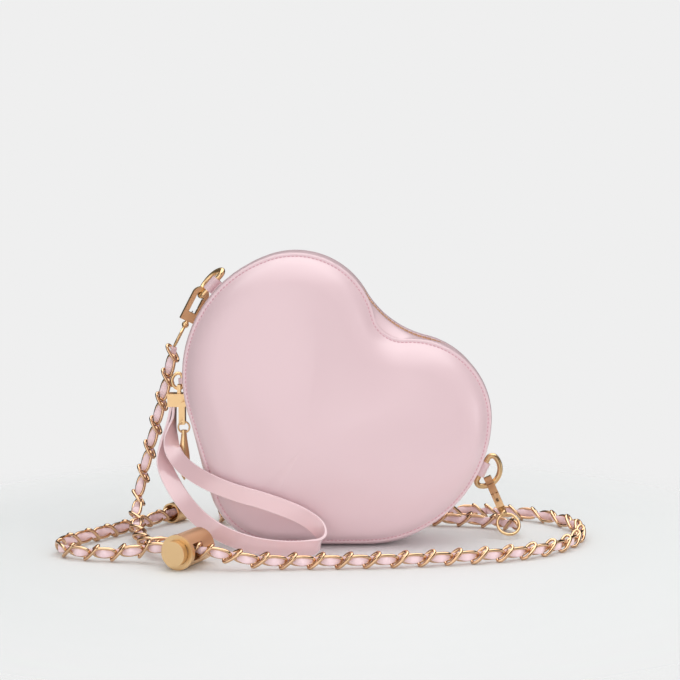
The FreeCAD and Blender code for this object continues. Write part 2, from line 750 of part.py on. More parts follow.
def build_tab(name, wire, width, stand_off, seat):
    """A leather loop round a ring's bar, whose tongue runs in to the bag along -Y."""
    loop = cylinder("%s_loop" % name, "Sizes.%s + Sizes.tab_clearance + Sizes.tab_leather" % wire, "Sizes.%s" % width)
    hole = cylinder("%s_hole" % name, "Sizes.%s + Sizes.tab_clearance" % wire, "Sizes.%s" % width)
    for thing in (loop, hole):
        turned = frame(FreeCAD.Vector(-size(width) / 2, 0, 0), FreeCAD.Vector(0, 1, 0), FreeCAD.Vector(0, 0, 1))
        thing.Placement = turned
    tongue = box("%s_tongue" % name, "Sizes.%s" % width, stand_off, "2 * Sizes.tab_leather")
    DOC.recompute([tongue])
    tongue.Placement = FreeCAD.Placement(
        FreeCAD.Vector(-size(width) / 2, -tongue.Width.Value, -size("tab_leather")), FreeCAD.Rotation()
    )
    tab = cut(name, fuse("%s_blank" % name, [loop, tongue]), hole)
    tab.Placement = seat
    return node(name, tab)


def rear_ring_seat(half, end):
    """Seat of a bar beside the rear seam."""
    heading = radians("%s_ring_angle" % end)
    return side_frame(half, heading, size("%s_stand_off" % end), size("gusset_width") / 2)


def build_rings():
    """Both strap rings: the right one lies flat with the bag, the left one is swung to the rear."""
    right = rear_ring_seat(1, "right")
    left = rear_ring_seat(-1, "left")
    tilt = radians("left_ring_tilt")
    outward = left.Rotation.multVec(FreeCAD.Vector(0, 1, 0))
    bow = FreeCAD.Vector(0, math.cos(tilt), 0) + outward * math.sin(tilt)
    back = frame(left.Base, left.Rotation.multVec(FreeCAD.Vector(1, 0, 0)), bow)
    build_ring("right_dring", "", size("ring_wire"), right)
    build_ring("left_dring", "", size("ring_wire"), back)
    for end, seat in (("left", left), ("right", right)):
        tongue = "Sizes.%s_stand_off - Sizes.tab_seat" % end
        build_tab("%s_ring_tab" % end, "ring_wire", "tab_width", tongue, seat)
    return back, right


# Snap hooks


def hook_window(thickness, width, limb, top, bottom):
    """An upright plate with a round top, as wide as a width and two limbs, on the hook's own Y."""
    radius = width / 2 + limb
    half = thickness / 2
    centre = top - width / 2
    corners = [FreeCAD.Vector(radius, -half, bottom), FreeCAD.Vector(radius, -half, centre)]
    crown = FreeCAD.Vector(0, -half, centre + radius)
    others = [FreeCAD.Vector(-radius, -half, centre), FreeCAD.Vector(-radius, -half, bottom)]
    edges = [
        Part.LineSegment(corners[0], corners[1]).toShape(),
        arc_edge(corners[1], crown, others[0]),
        Part.LineSegment(others[0], others[1]).toShape(),
        Part.LineSegment(others[1], corners[0]).toShape(),
    ]
    return Part.Face(Part.Wire(edges)).extrude(FreeCAD.Vector(0, 2 * half, 0))


def build_hook(end, seat, eye_turn):
    """A snap hook hung on a ring wire at its origin: Z up, Y along the wire, the gate on +X.

    Returns the height of its eye's middle.
    """
    width = size("hook_inner_width")
    limb = size("hook_limb")
    thickness = size("%s_hook_thickness" % end)
    top = size("ring_wire") + size("hook_seat")
    floor = top - size("hook_inner_length")
    bottom = floor - size("hook_block")
    over = size("overrun")
    leg = width / 2 + limb / 2
    pivot_height = floor + size("gate_cheek") / 2
    gate_top = top - width / 2 - size("gate_top")
    cheek_top = floor + size("gate_cheek")
    plate = hook_window(thickness, width, limb, top, bottom)
    window = hook_window(thickness, width, 0.0, top, floor)
    gap = Part.makeBox(
        limb + over, 2 * over, gate_top - cheek_top, FreeCAD.Vector(width / 2 - size("gate_gap"), -over, cheek_top)
    )
    slot_depth = size("gate_tongue") + 2 * size("running_clearance")
    slot_start = width / 2 - size("gate_slot")
    slot = Part.makeBox(
        2 * limb + over, slot_depth, size("gate_cheek") + size("gate_slot"),
        FreeCAD.Vector(slot_start, -slot_depth / 2, floor - size("gate_slot")),
    )
    rivet_hole = Part.makeCylinder(
        size("rivet_radius"), 2 * over, FreeCAD.Vector(leg, -over, pivot_height), FreeCAD.Vector(0, 1, 0)
    )
    socket = Part.makeCylinder(
        size("swivel_pin_radius") + size("running_clearance"), size("swivel_pin_length"),
        FreeCAD.Vector(0, 0, bottom),
    )
    body = plate.cut(window).cut(gap).cut(slot).cut(rivet_hole).cut(socket)
    tongue = Part.makeBox(
        limb, size("gate_tongue"), size("gate_cheek") + size("gate_step"),
        FreeCAD.Vector(width / 2, -size("gate_tongue") / 2, floor),
    )
    bar_base = cheek_top + size("gate_step")
    bar = Part.makeBox(
        limb, thickness, gate_top - size("gate_gap") - bar_base,
        FreeCAD.Vector(width / 2, -thickness / 2, bar_base),
    )
    pin_bore = Part.makeCylinder(
        size("rivet_radius") + size("running_clearance"), 2 * over,
        FreeCAD.Vector(leg, -over, pivot_height), FreeCAD.Vector(0, 1, 0),
    )
    gate = tongue.fuse(bar).cut(pin_bore)
    rivet = Part.makeCylinder(
        size("rivet_radius"), thickness,
        FreeCAD.Vector(leg, -thickness / 2, pivot_height), FreeCAD.Vector(0, 1, 0),
    )
    leaf = Part.makeBox(
        size("spring_leaf"), size("gate_tongue"), size("spring_length"),
        FreeCAD.Vector(slot_start, -size("gate_tongue") / 2, floor - size("gate_slot")),
    )
    ball_height = bottom - size("gate_gap") - size("swivel_ball_radius")
    pin = Part.makeCylinder(
        size("swivel_pin_radius"), bottom + size("swivel_pin_length") - size("gate_gap") - ball_height,
        FreeCAD.Vector(0, 0, ball_height),
    )
    ball = Part.makeSphere(size("swivel_ball_radius"), FreeCAD.Vector(0, 0, ball_height))
    eye_height = ball_height - size("eye_radius") - size("swivel_ball_radius") / 2
    lateral = FreeCAD.Vector(math.cos(eye_turn), math.sin(eye_turn), 0)
    hoop = Part.makeTorus(
        size("eye_radius"), size("eye_wire"), FreeCAD.Vector(0, 0, eye_height),
        lateral.cross(FreeCAD.Vector(0, 0, 1)),
    )
    pieces = {
        "hook_body": body,
        "hook_gate": gate,
        "hook_rivet": rivet,
        "hook_spring": leaf,
        "hook_eye": pin.fuse(ball).fuse(hoop),
    }
    for piece, shape in pieces.items():
        thing = shape_piece("%s_%s" % (end, piece), shape)
        thing.Placement = seat
        node("%s_%s" % (end, piece), thing)
    return eye_height


def hook_seat(ring_seat, heading, down):
    """Placement of a hook on a ring's wire, hanging along a direction."""
    wire_run = FreeCAD.Vector(math.cos(heading), math.sin(heading), 0)
    across = ring_seat.Rotation.multVec(wire_run)
    if heading > math.pi:
        across = across * -1
    up = unit(down) * -1
    across = unit(across - up * up.dot(across))
    return frame(ring_seat.multVec(ring_spot("", heading)), across.cross(up), across)


# Wristlet


def build_wristlet():
    """Ring on a tab beside the zip, a clamp that hangs on it, and the strap whose ends it holds."""
    stand_off = size("zip_crown") + size("tab_clearance") + size("wrist_ring_wire") + size("tab_leather")
    seat = side_frame(-1, radians("wrist_ring_angle"), stand_off + size("tab_clearance"), size("wrist_depth"))
    build_ring("wristlet_dring", "wrist_", size("wrist_ring_wire"), seat)
    build_tab("wristlet_ring_tab", "wrist_ring_wire", "wrist_tab_width", "Sizes.wrist_ring_wire", seat)
    bar = size("wrist_ring_bar")
    corner = size("wrist_ring_corner")
    hang = seat.multVec(FreeCAD.Vector(-bar / 2 - corner, corner, 0))
    hole_radius = size("wrist_ring_wire") + size("lug_hole_clearance")
    lug_half = hole_radius + size("lug_wall")
    clamp_top = hang.z - lug_half
    reach = size("clamp_reach")
    width = size("clamp_width")
    inner = hang.x + size("clamp_jaw")
    cap = Part.makeBox(
        reach, width, size("clamp_cap"),
        FreeCAD.Vector(inner - reach, hang.y - width / 2, clamp_top - size("clamp_cap")),
    )
    jaw = Part.makeBox(
        size("clamp_jaw"), width, size("clamp_height"),
        FreeCAD.Vector(inner - size("clamp_jaw"), hang.y - width / 2, clamp_top - size("clamp_height")),
    )
    lug = Part.makeBox(
        size("lug_thickness"), 2 * lug_half, 2 * lug_half,
        FreeCAD.Vector(hang.x - size("lug_thickness") / 2, hang.y - lug_half, clamp_top),
    )
    hole = Part.makeCylinder(
        hole_radius, 2 * size("lug_thickness"), hang - FreeCAD.Vector(size("lug_thickness"), 0, 0),
        FreeCAD.Vector(1, 0, 0),
    )
    slot_width = 2 * size("strap_thickness") + 3 * size("strap_clearance")
    slot_height = size("clamp_cap") - size("clamp_wall")
    slot = Part.makeBox(
        slot_width, size("strap_width") + 2 * size("strap_clearance"), slot_height,
        FreeCAD.Vector(
            inner - reach + size("clamp_wall"),
            hang.y - size("strap_width") / 2 - size("strap_clearance"),
            clamp_top - size("clamp_cap"),
        ),
    )
    rivet_height = clamp_top - size("clamp_cap") / 2
    rivet = Part.makeCylinder(
        size("clamp_rivet_radius"), slot_width + size("clamp_wall"),
        FreeCAD.Vector(inner - reach, hang.y, rivet_height), FreeCAD.Vector(1, 0, 0),
    )
    clamp = cap.fuse(jaw).fuse(lug).cut(hole).cut(slot).cut(rivet)
    node("wristlet_clamp", shape_piece("wristlet_clamp", clamp))
    node("wristlet_rivet", shape_piece("wristlet_rivet", rivet))
    middle = inner - reach + size("clamp_wall") + slot_width / 2
    ends = clamp_top - size("clamp_wall") - size("strap_clearance")
    build_strap(middle, hang.y, ends, clamp_top - size("clamp_cap"), rivet)


def triangle(first, second, third):
    return Part.Face(Part.makePolygon([first, second, third, first]))


def banded_solid(sections):
    """A solid through rows of four corners, with flat three-sided faces between the rows."""
    faces = []
    for row, following in zip(sections[:-1], sections[1:]):
        for index in range(4):
            after = (index + 1) % 4
            faces.append(triangle(row[index], row[after], following[after]))
            faces.append(triangle(row[index], following[after], following[index]))
    for end in (sections[0], sections[-1]):
        faces.append(Part.Face(Part.makePolygon(end + end[:1])))
    shell = Part.makeShell(faces)
    shell.sewShape()
    return Part.makeSolid(shell)


def build_strap(middle, depth, ends, mouth, rivet):
    """The strap as one band through rectangles square to its centre line, pierced by the rivet."""
    rear = FreeCAD.Vector(0, 1, 0)
    half = size("strap_thickness") / 2
    apart = half + size("strap_clearance") / 2
    stations = [(FreeCAD.Vector(middle - apart, depth, height), rear) for height in (ends, mouth)]
    foot = FreeCAD.Vector(middle, depth, 0)
    stations = stations + [(foot + vector(spot) * mouth, vector(lean)) for spot, lean in STRAP_SHARES]
    stations = stations + [(FreeCAD.Vector(middle + apart, depth, height), rear) for height in (mouth, ends)]
    sections = []
    for index, (spot, lean) in enumerate(stations):
        before = stations[max(index - 1, 0)][0]
        after = stations[min(index + 1, len(stations) - 1)][0]
        along = unit(after - before)
        if index in (0, 1, len(stations) - 2, len(stations) - 1):
            along = FreeCAD.Vector(0, 0, -1 if index < 2 else 1)
        wide = unit(lean - along * along.dot(lean)) * (size("strap_width") / 2)
        thick = unit(along.cross(wide)) * half
        corners = [spot + wide + thick, spot + wide - thick, spot - wide - thick, spot - wide + thick]
        sections.append(corners)
    node("wristlet_strap", shape_piece("wristlet_strap", banded_solid(sections).cut(rivet)))


# Chain strap, its lock and its end cap


def cord_wire(points):
    """Straight runs joined by tangent arcs, each as large as its two runs allow."""
    points = [vector(point) for point in points]
    edges = []
    radii = []
    last = points[0]
    for before, corner, after in zip(points[:-2], points[1:-1], points[2:]):
        into = unit(corner - before)
        out = unit(after - corner)
        shorter = min((corner - before).Length, (after - corner).Length)
        trim = shorter * BEND_SHARE
        turn = into.getAngle(out)
        radii.append(trim / math.tan(turn / 2))
        first = corner - into * trim
        second = corner + out * trim
        inward = unit(out - into)
        middle = corner + inward * (radii[-1] / math.cos(turn / 2) - radii[-1])
        edges.append(Part.LineSegment(last, first).toShape())
        edges.append(arc_edge(first, middle, second))
        last = second
    edges.append(Part.LineSegment(last, points[-1]).toShape())
    return Part.Wire(edges), radii


def build_cord(name, points):
    wire, radii = cord_wire(points)
    along = vector(points[1]) - vector(points[0])
    section = Part.Wire(Part.makeCircle(size("chain_width") / 2, vector(points[0]), along))
    tube = wire.makePipeShell([section], True, False)
    ideal = math.pi * (size("chain_width") / 2) ** 2 * wire.Length
    report = "%s: length %.1f, volume share %.4f, radii %s"
    print(report % (name, wire.Length, tube.Volume / ideal, " ".join("%.0f" % radius for radius in radii)))
    node(name, shape_piece(name, tube))


def lock_frame():
    """The lock lies on its side: Z from its button to its closed end, X across towards the right."""
    turn = radians("lock_turn")
    across = FreeCAD.Vector(math.cos(turn), -math.sin(turn), 0)
    return frame(vector(LOCK_FRONT), across, FreeCAD.Vector(0, 0, -1))


def build_lock(seat):
    """A barrel with a cross slot, a sprung button with a window, and the spring behind it."""
    shell = cylinder("lock_shell", "Sizes.lock_radius", "Sizes.lock_length")
    rim = cylinder("lock_rim", "Sizes.lock_rim_radius", "Sizes.lock_rim")
    bore = cylinder(
        "lock_bore", "Sizes.button_radius + Sizes.running_clearance", "Sizes.lock_length - Sizes.lock_floor"
    )
    low = size("lock_slot_place") - size("lock_slot") / 2
    slot = box("lock_slot_cut", "4 * Sizes.lock_radius", "Sizes.lock_slot", "Sizes.lock_slot", (0, 0, low))
    bored = cut("lock_bored", fuse("lock_blank", [shell, rim]), bore)
    barrel = cut("lock_barrel", bored, slot)
    barrel.Placement = seat
    node("lock_barrel", barrel)
    stem = cylinder(
        "button_stem", "Sizes.button_radius", "Sizes.button_proud + Sizes.button_inside",
        (0, 0, -size("button_proud")),
    )
    window = box(
        "button_window", "4 * Sizes.lock_radius", "Sizes.lock_slot", "Sizes.lock_slot + Sizes.button_travel",
        (0, 0, low - size("button_travel")),
    )
    button = cut("lock_button", stem, window)
    button.Placement = seat
    node("lock_button", button)
    room = size("lock_length") - size("lock_floor") - size("button_inside")
    wire = size("button_spring_wire")
    rise = room - 2 * wire - size("cord_gap")
    coil = []
    count = int(size("button_spring_turns") * COIL_SEGMENTS)
    for index in range(count + 1):
        turn = 2 * math.pi * index / COIL_SEGMENTS
        radius = size("button_spring_radius")
        coil.append(FreeCAD.Vector(radius * math.cos(turn), radius * math.sin(turn), rise * index / count))
    section = Part.Wire(Part.makeCircle(wire, coil[0], coil[1] - coil[0]))
    path = Part.makePolygon(coil)
    spring = shape_piece("lock_spring", path.makePipeShell([section], True, True, 1))
    lift = FreeCAD.Vector(0, 0, size("button_inside") + wire + size("cord_gap") / 2)
    spring.Placement = seat.multiply(FreeCAD.Placement(lift, FreeCAD.Rotation()))
    node("lock_spring", spring)


def cap_frame():
    """The end cap lies on its side: Z from its mouth to its closed end."""
    turn = radians("cap_turn")
    across = FreeCAD.Vector(math.cos(turn), -math.sin(turn), 0)
    return frame(vector(CAP_MOUTH), across, FreeCAD.Vector(0, 0, -1))


def build_cap(seat):
    """A cup turned from one profile."""
    body = DOC.addObject("PartDesign::Body", "chain_end_cap")
    sketch = body.newObject("Sketcher::SketchObject", "cap_profile")
    plane = [face for face in body.Origin.OriginFeatures if face.Role == "XZ_Plane"][0]
    sketch.AttachmentSupport = [(plane, "")]
    sketch.MapMode = "FlatFace"
    outer = size("cap_radius")
    inner = outer - size("cap_wall")
    floor = size("cap_length") - size("cap_floor")
    points = [(inner, 0), (outer, 0), (outer, size("cap_length")), (0, size("cap_length")), (0, floor), (inner, floor)]
    corners = [FreeCAD.Vector(x, y, 0) for x, y in points]
    for first, second in zip(corners, corners[1:] + corners[:1]):
        sketch.addGeometry(Part.LineSegment(first, second))
    DOC.recompute()
    turned = body.newObject("PartDesign::Revolution", "cap_turned")
    turned.Profile = sketch
    turned.ReferenceAxis = (sketch, ["V_Axis"])
    turned.Angle = 360
    body.Placement = seat
    node("chain_end_cap", body)


def build_chain(left_seat, left_eye, right_seat, right_eye):
    """Four stretches: the left fall, the tail through the lock, the front run and the rear run."""
    lock = lock_frame()
    cap = cap_frame()
    build_lock(lock)
    build_cap(cap)
    reach = size("eye_radius") + size("eye_wire") + size("cord_gap")
    side = size("lock_radius") + size("cord_gap")
    lead = size("chain_width")
    anchor = [FreeCAD.Vector(-side - step, 0, size("lock_anchor_place")) for step in (lead, 0.0)]
    anchor = [tuple(lock.multVec(spot)) for spot in anchor]
    start = left_seat.multVec(FreeCAD.Vector(0, 0, left_eye - reach))
    build_cord("chain_left_fall", [tuple(start)] + LEFT_FALL_ROUTE + anchor)
    pocket = cap.multVec(FreeCAD.Vector(0, 0, size("cap_length") - size("cap_floor") - size("cord_gap")))
    crossing = [FreeCAD.Vector(step, 0, size("lock_slot_place")) for step in (0.0, side, side + lead)]
    inlet, outlet, turn = [tuple(lock.multVec(spot)) for spot in crossing]
    build_cord("chain_tail", [tuple(pocket)] + TAIL_ROUTE + [inlet, outlet])
    join = tuple((vector(FRONT_ROUTE[-1]) + vector(BACK_ROUTE[0])) / 2)
    build_cord("chain_front_run", [outlet, turn] + FRONT_ROUTE + [join])
    turned = radians("right_eye_turn")
    lateral = FreeCAD.Vector(math.cos(turned), math.sin(turned), 0)
    behind = FreeCAD.Vector(0, 0, 1).cross(lateral)
    end = FreeCAD.Vector(0, 0, right_eye) + lateral * size("eye_radius")
    clear = size("eye_wire") + size("cord_gap")
    approach = [tuple(right_seat.multVec(end + behind * (clear + step))) for step in (size("eye_lead"), 0.0)]
    build_cord("chain_back_run", [join] + BACK_ROUTE + approach)


def build_purse():
    padded_panel("rear", 1)
    padded_panel("front", -1)
    build_gusset()
    DOC.recompute()
    build_zip_teeth()
    build_zip_stops()
    build_slider()
    left, right = build_rings()
    left_down = unit(vector(LEFT_HANG_SHARES))
    right_down = unit(vector(RIGHT_HANG_SHARES))
    left_seat = hook_seat(left, radians("left_hook_angle"), left_down)
    right_seat = hook_seat(right, radians("right_hook_angle"), right_down)
    left_eye = build_hook("left", left_seat, radians("left_eye_turn"))
    right_eye = build_hook("right", right_seat, radians("right_eye_turn"))
    build_wristlet()
    build_chain(left_seat, left_eye, right_seat, right_eye)
    DOC.recompute()


def write_parts():
    """Check every object and each piece, then write the pieces."""
    for thing in DOC.Objects:
        if "Invalid" in thing.State or "Error" in thing.State:
            raise RuntimeError("%s failed: %s" % (thing.Label, thing.State))
    for name, thing in NODES.items():
        if thing.Shape.isNull() or not thing.Shape.isValid() or not thing.Shape.Solids:
            raise RuntimeError("%s has no valid solid" % name)
    os.makedirs("parts", exist_ok=True)
    for name, thing in NODES.items():
        thing.Shape.exportStep("parts/%s.step" % name)
        print("%s: %d solids, %.1f mm3" % (name, len(thing.Shape.Solids), thing.Shape.Volume))


build_purse()
write_parts()
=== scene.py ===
"""Heart shaped purse in patent leather with a laced chain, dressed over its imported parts."""

import json
import logging
import math
from dataclasses import dataclass, field
from enum import Enum
from typing import Dict, List, Optional, Sequence, Tuple, Union

import bmesh
import bpy
from mathutils import Matrix, Vector

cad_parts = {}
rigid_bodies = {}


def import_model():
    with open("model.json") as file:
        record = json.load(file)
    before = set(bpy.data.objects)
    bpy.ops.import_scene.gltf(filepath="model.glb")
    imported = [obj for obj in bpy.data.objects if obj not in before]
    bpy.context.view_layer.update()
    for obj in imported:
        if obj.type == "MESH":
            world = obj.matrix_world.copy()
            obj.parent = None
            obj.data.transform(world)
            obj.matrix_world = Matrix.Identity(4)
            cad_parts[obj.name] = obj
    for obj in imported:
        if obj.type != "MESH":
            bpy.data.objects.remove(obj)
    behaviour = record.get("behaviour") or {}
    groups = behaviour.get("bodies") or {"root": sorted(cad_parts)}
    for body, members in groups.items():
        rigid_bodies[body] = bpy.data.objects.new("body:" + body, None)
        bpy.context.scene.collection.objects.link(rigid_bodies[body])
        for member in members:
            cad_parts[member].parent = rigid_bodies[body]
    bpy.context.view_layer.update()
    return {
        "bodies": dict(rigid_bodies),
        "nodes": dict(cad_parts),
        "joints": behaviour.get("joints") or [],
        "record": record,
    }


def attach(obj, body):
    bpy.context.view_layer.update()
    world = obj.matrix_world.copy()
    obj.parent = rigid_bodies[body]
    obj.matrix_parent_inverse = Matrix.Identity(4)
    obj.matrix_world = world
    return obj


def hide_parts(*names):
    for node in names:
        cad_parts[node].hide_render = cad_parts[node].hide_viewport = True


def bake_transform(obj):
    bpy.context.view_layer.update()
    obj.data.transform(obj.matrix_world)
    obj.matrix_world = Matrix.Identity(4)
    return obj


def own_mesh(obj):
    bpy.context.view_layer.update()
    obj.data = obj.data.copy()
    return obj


LOG = logging.getLogger("purse")
MM = 0.001

Colour = Tuple[float, float, float]
Triple = Tuple[float, float, float]
Face = Tuple[int, ...]
Operand = Union["Socket", float]


def linear(red: float, green: float, blue: float) -> Colour:
    """Turn a colour written in 0 to 255 steps into scene-linear values.

    Args:
        red, green, blue: display values from 0 to 255.

    Returns:
        The three linear values.
    """
    shares = [value / 255.0 for value in (red, green, blue)]
    return tuple(
        share / 12.92 if share <= 0.04045 else ((share + 0.055) / 1.055) ** 2.4 for share in shares
    )


# Shader nodes


@dataclass(frozen=True)
class Socket:
    """An output of a shader node that joins in sums."""

    graph: "Graph"
    out: bpy.types.NodeSocket

    def __add__(self, other: Operand) -> "Socket":
        """The sum of two values."""
        return self.graph.maths("ADD", self, other)

    def __mul__(self, other: Operand) -> "Socket":
        """The product of two values."""
        return self.graph.maths("MULTIPLY", self, other)

    def smooth(self, start: float, end: float) -> "Socket":
        """Smooth step of this value.

        Args:
            start: where it leaves 0.
            end: where it reaches 1.

        Returns:
            The step.
        """
        settings = {"interpolation_type": "SMOOTHSTEP"}
        values = {"Value": self, "From Min": start, "From Max": end}
        return self.graph.read("Result", "ShaderNodeMapRange", settings, values)


class Graph:
    """The node tree of one material or of the world."""

    def __init__(self, tree: bpy.types.NodeTree) -> None:
        """Start from an empty tree."""
        self.tree = tree
        tree.nodes.clear()

    def node(
        self, kind: str, settings: Optional[dict] = None, inputs: Optional[dict] = None,
    ) -> bpy.types.Node:
        """Make one node.

        Args:
            kind: the node's type name.
            settings: attributes, set before the sockets.
            inputs: socket values or Socket links, by socket name or index.

        Returns:
            The new node.
        """
        made = self.tree.nodes.new(kind)
        for key, value in (settings or {}).items():
            setattr(made, key, value)
        for key, value in (inputs or {}).items():
            if isinstance(value, Socket):
                self.tree.links.new(value.out, made.inputs[key])
            else:
                made.inputs[key].default_value = value
        return made

    def read(
        self, output: Union[str, int], kind: str, settings: Optional[dict] = None,
        inputs: Optional[dict] = None,
    ) -> Socket:
        """One output of a new node."""
        return Socket(self, self.node(kind, settings, inputs).outputs[output])

    def maths(self, operation: str, first: Operand, second: Operand) -> Socket:
        """One Math node on two values."""
        return self.read(0, "ShaderNodeMath", {"operation": operation}, {0: first, 1: second})

    def mix(self, share: Operand, first: Colour, second: Colour) -> Socket:
        """A colour between two colours."""
        values = {0: share, 6: (*first, 1.0), 7: (*second, 1.0)}
        return self.read(2, "ShaderNodeMix", {"data_type": "RGBA"}, values)

    def noise(self, scale: float, detail: float = 2.0) -> Socket:
        """Noise over the piece's own coordinates.

        Args:
            scale: features in each metre, about.
            detail: finer layers in it.

        Returns:
            A value of about 0 to 1.
        """
        place = self.read("Object", "ShaderNodeTexCoord")
        values = {"Vector": place, "Scale": scale, "Detail": detail}
        return self.read("Fac", "ShaderNodeTexNoise", None, values)

    def bump(self, height: Socket, strength: float, distance: float) -> Socket:
        """A normal disturbed by a height."""
        values = {"Height": height, "Strength": strength, "Distance": distance}
        return self.read("Normal", "ShaderNodeBump", None, values)

    def glow(self, colour: Colour, strength: Operand) -> bpy.types.Node:
        """A background shader."""
        values = {"Color": (*colour, 1.0), "Strength": strength}
        return self.node("ShaderNodeBackground", None, values)

    def mix_shaders(
        self, share: Operand, first: bpy.types.Node, second: bpy.types.Node,
    ) -> bpy.types.Node:
        """A shader between two shaders."""
        values = {0: share, 1: Socket(self, first.outputs[0]), 2: Socket(self, second.outputs[0])}
        return self.node("ShaderNodeMixShader", None, values)

    def surface(self, shader: bpy.types.Node, kind: str = "ShaderNodeOutputMaterial") -> None:
        """Join a shader to the tree's output."""
        self.node(kind, None, {"Surface": Socket(self, shader.outputs[0])})


# Finishes


@dataclass(frozen=True)
class Finish:
    """A plain surface finish; the kinds below add what varies over it."""

    name: str
    colour: Colour
    roughness: float = 0.5
    metallic: float = 0.0
    coat: float = 0.0
    specular: float = 0.5
    coat_roughness: float = 0.18

    def material(self) -> bpy.types.Material:
        """The finish as a material, made once.

        Returns:
            The material.
        """
        found = bpy.data.materials.get(self.name)
        if found:
            return found
        made = bpy.data.materials.new(self.name)
        made.use_nodes = True
        graph = Graph(made.node_tree)
        values = {
            "Base Color": (*self.colour, 1.0),
            "Roughness": self.roughness,
            "Metallic": self.metallic,
            "Coat Weight": self.coat,
            "Coat Roughness": self.coat_roughness,
            "Specular IOR Level": self.specular,
        }
        values.update(self.varied(graph))
        graph.surface(self.shader(graph, graph.node("ShaderNodeBsdfPrincipled", None, values)))
        return made

    def varied(self, graph: Graph) -> dict:
        """Sockets that vary over the surface."""
        return {}

    def shader(self, graph: Graph, plain: bpy.types.Node) -> bpy.types.Node:
        """The last shader, from the plain one."""
        return plain


@dataclass(frozen=True)
class PatentLeather(Finish):
    """Lacquered leather: a clear coat over a faintly uneven colour."""

    deep: Colour = (0.7, 0.5, 0.55)
    cloud_scale: float = 22.0
    cloud_share: float = 0.3
    dulling: float = 0.08
    wave_scale: float = 60.0
    wave_strength: float = 0.08
    wave_height: float = 0.6 * MM

    def varied(self, graph: Graph) -> dict:
        """Clouded colour and gloss, and a slight wave.

        Args:
            graph: the material's nodes.

        Returns:
            Their sockets.
        """
        cloud = graph.noise(self.cloud_scale, 3.0)
        wave = graph.noise(self.wave_scale, 1.0)
        return {
            "Base Color": graph.mix(cloud * self.cloud_share, self.colour, self.deep),
            "Roughness": cloud * self.dulling + self.roughness,
            "Normal": graph.bump(wave, self.wave_strength, self.wave_height),
        }


@dataclass(frozen=True)
class PolishedMetal(Finish):
    """Plated metal with slight wear in its polish and faces that are not quite flat."""

    wear_scale: float = 240.0
    wear: float = 0.05
    ripple_scale: float = 70.0
    ripple_height: float = 2.0 * MM

    def varied(self, graph: Graph) -> dict:
        """Uneven polish and a slight ripple.

        Args:
            graph: the material's nodes.

        Returns:
            Their sockets.
        """
        ripple = graph.noise(self.ripple_scale, 1.0)
        return {
            "Roughness": graph.noise(self.wear_scale) * self.wear + self.roughness,
            "Normal": graph.bump(ripple, 1.0, self.ripple_height),
        }


@dataclass(frozen=True)
class WovenCloth(Finish):
    """Fine weave with a small bump."""

    grain: float = 2600.0
    grain_strength: float = 0.4
    grain_height: float = 0.2 * MM

    def varied(self, graph: Graph) -> dict:
        """The weave's grain."""
        thread = graph.noise(self.grain, 1.0)
        return {"Normal": graph.bump(thread, self.grain_strength, self.grain_height)}


@dataclass(frozen=True)
class FadingFloor(Finish):
    """A floor that fades to nothing away from the middle of the scene."""

    fade_start: float = 0.19
    fade_end: float = 0.36

    def shader(self, graph: Graph, plain: bpy.types.Node) -> bpy.types.Node:
        """The plain shader, thinning out with distance.

        Args:
            graph: the material's nodes.
            plain: the shader near the middle.

        Returns:
            The mixed shader.
        """
        spot = graph.read("Position", "ShaderNodeNewGeometry")
        away = graph.read("Value", "ShaderNodeVectorMath", {"operation": "LENGTH"}, {0: spot})
        share = away.smooth(self.fade_start, self.fade_end)
        return graph.mix_shaders(share, plain, graph.node("ShaderNodeBsdfTransparent"))


LEATHER = PatentLeather(
    "patent_leather_pink", linear(233, 204, 209), 0.38, coat=0.7, coat_roughness=0.27,
    deep=linear(226, 191, 198),
)
STRAP_LEATHER = PatentLeather(
    "patent_leather_strap", linear(235, 199, 203), 0.25, coat=1.0, coat_roughness=0.1,
    deep=linear(226, 186, 190),
)
# Pale edge paint for the strap: partly real edge paint, partly a painted highlight, made paler so
# that the edges show a bright line where light would catch them.
EDGE_PAINT_AND_HIGHLIGHT = Finish("edge_paint_and_highlight_pink", linear(252, 226, 230), 0.35, coat=0.3)
RIBBON_LEATHER = PatentLeather(
    "ribbon_leather", linear(253, 224, 229), 0.3, coat=0.35, deep=linear(247, 210, 216),
)
GOLD = PolishedMetal("gold_metal", linear(244, 208, 158), 0.07, metallic=1.0)
CHAIN_GOLD = PolishedMetal("chain_gold", linear(220, 181, 144), 0.07, metallic=1.0)
STEEL = PolishedMetal("spring_steel", linear(190, 188, 184), 0.25, metallic=1.0)
TAPE = WovenCloth("zip_tape_pink", linear(224, 178, 186), 0.75)
LINING = WovenCloth("lining_cloth", linear(222, 196, 192), 0.7, grain=1800.0)
THREAD = Finish("thread_pink", linear(216, 166, 177), 0.6)
BOARD = Finish("board", linear(168, 140, 112), 0.8)
FLOOR = FadingFloor("studio_floor", (0.93, 0.955, 0.95), 0.6, specular=0.2)


# Meshes


def piece(
    name: str, points: Sequence[Vector], faces: Sequence[Sequence[int]], finish: Finish,
) -> bpy.types.Object:
    """A smooth-shaded mesh piece of the object.

    Args:
        name: the piece's name.
        points: its vertices, in metres.
        faces: vertex indices of each face.
        finish: its finish.

    Returns:
        The object, linked into the scene.
    """
    mesh = bpy.data.meshes.new(name)
    mesh.from_pydata([tuple(point) for point in points], [], [tuple(face) for face in faces])
    work = bmesh.new()
    work.from_mesh(mesh)
    bmesh.ops.recalc_face_normals(work, faces=work.faces)
    work.to_mesh(mesh)
    work.free()
    mesh.shade_smooth()
    mesh.materials.append(finish.material())
    made = bpy.data.objects.new(name, mesh)
    bpy.context.scene.collection.objects.link(made)
    return made


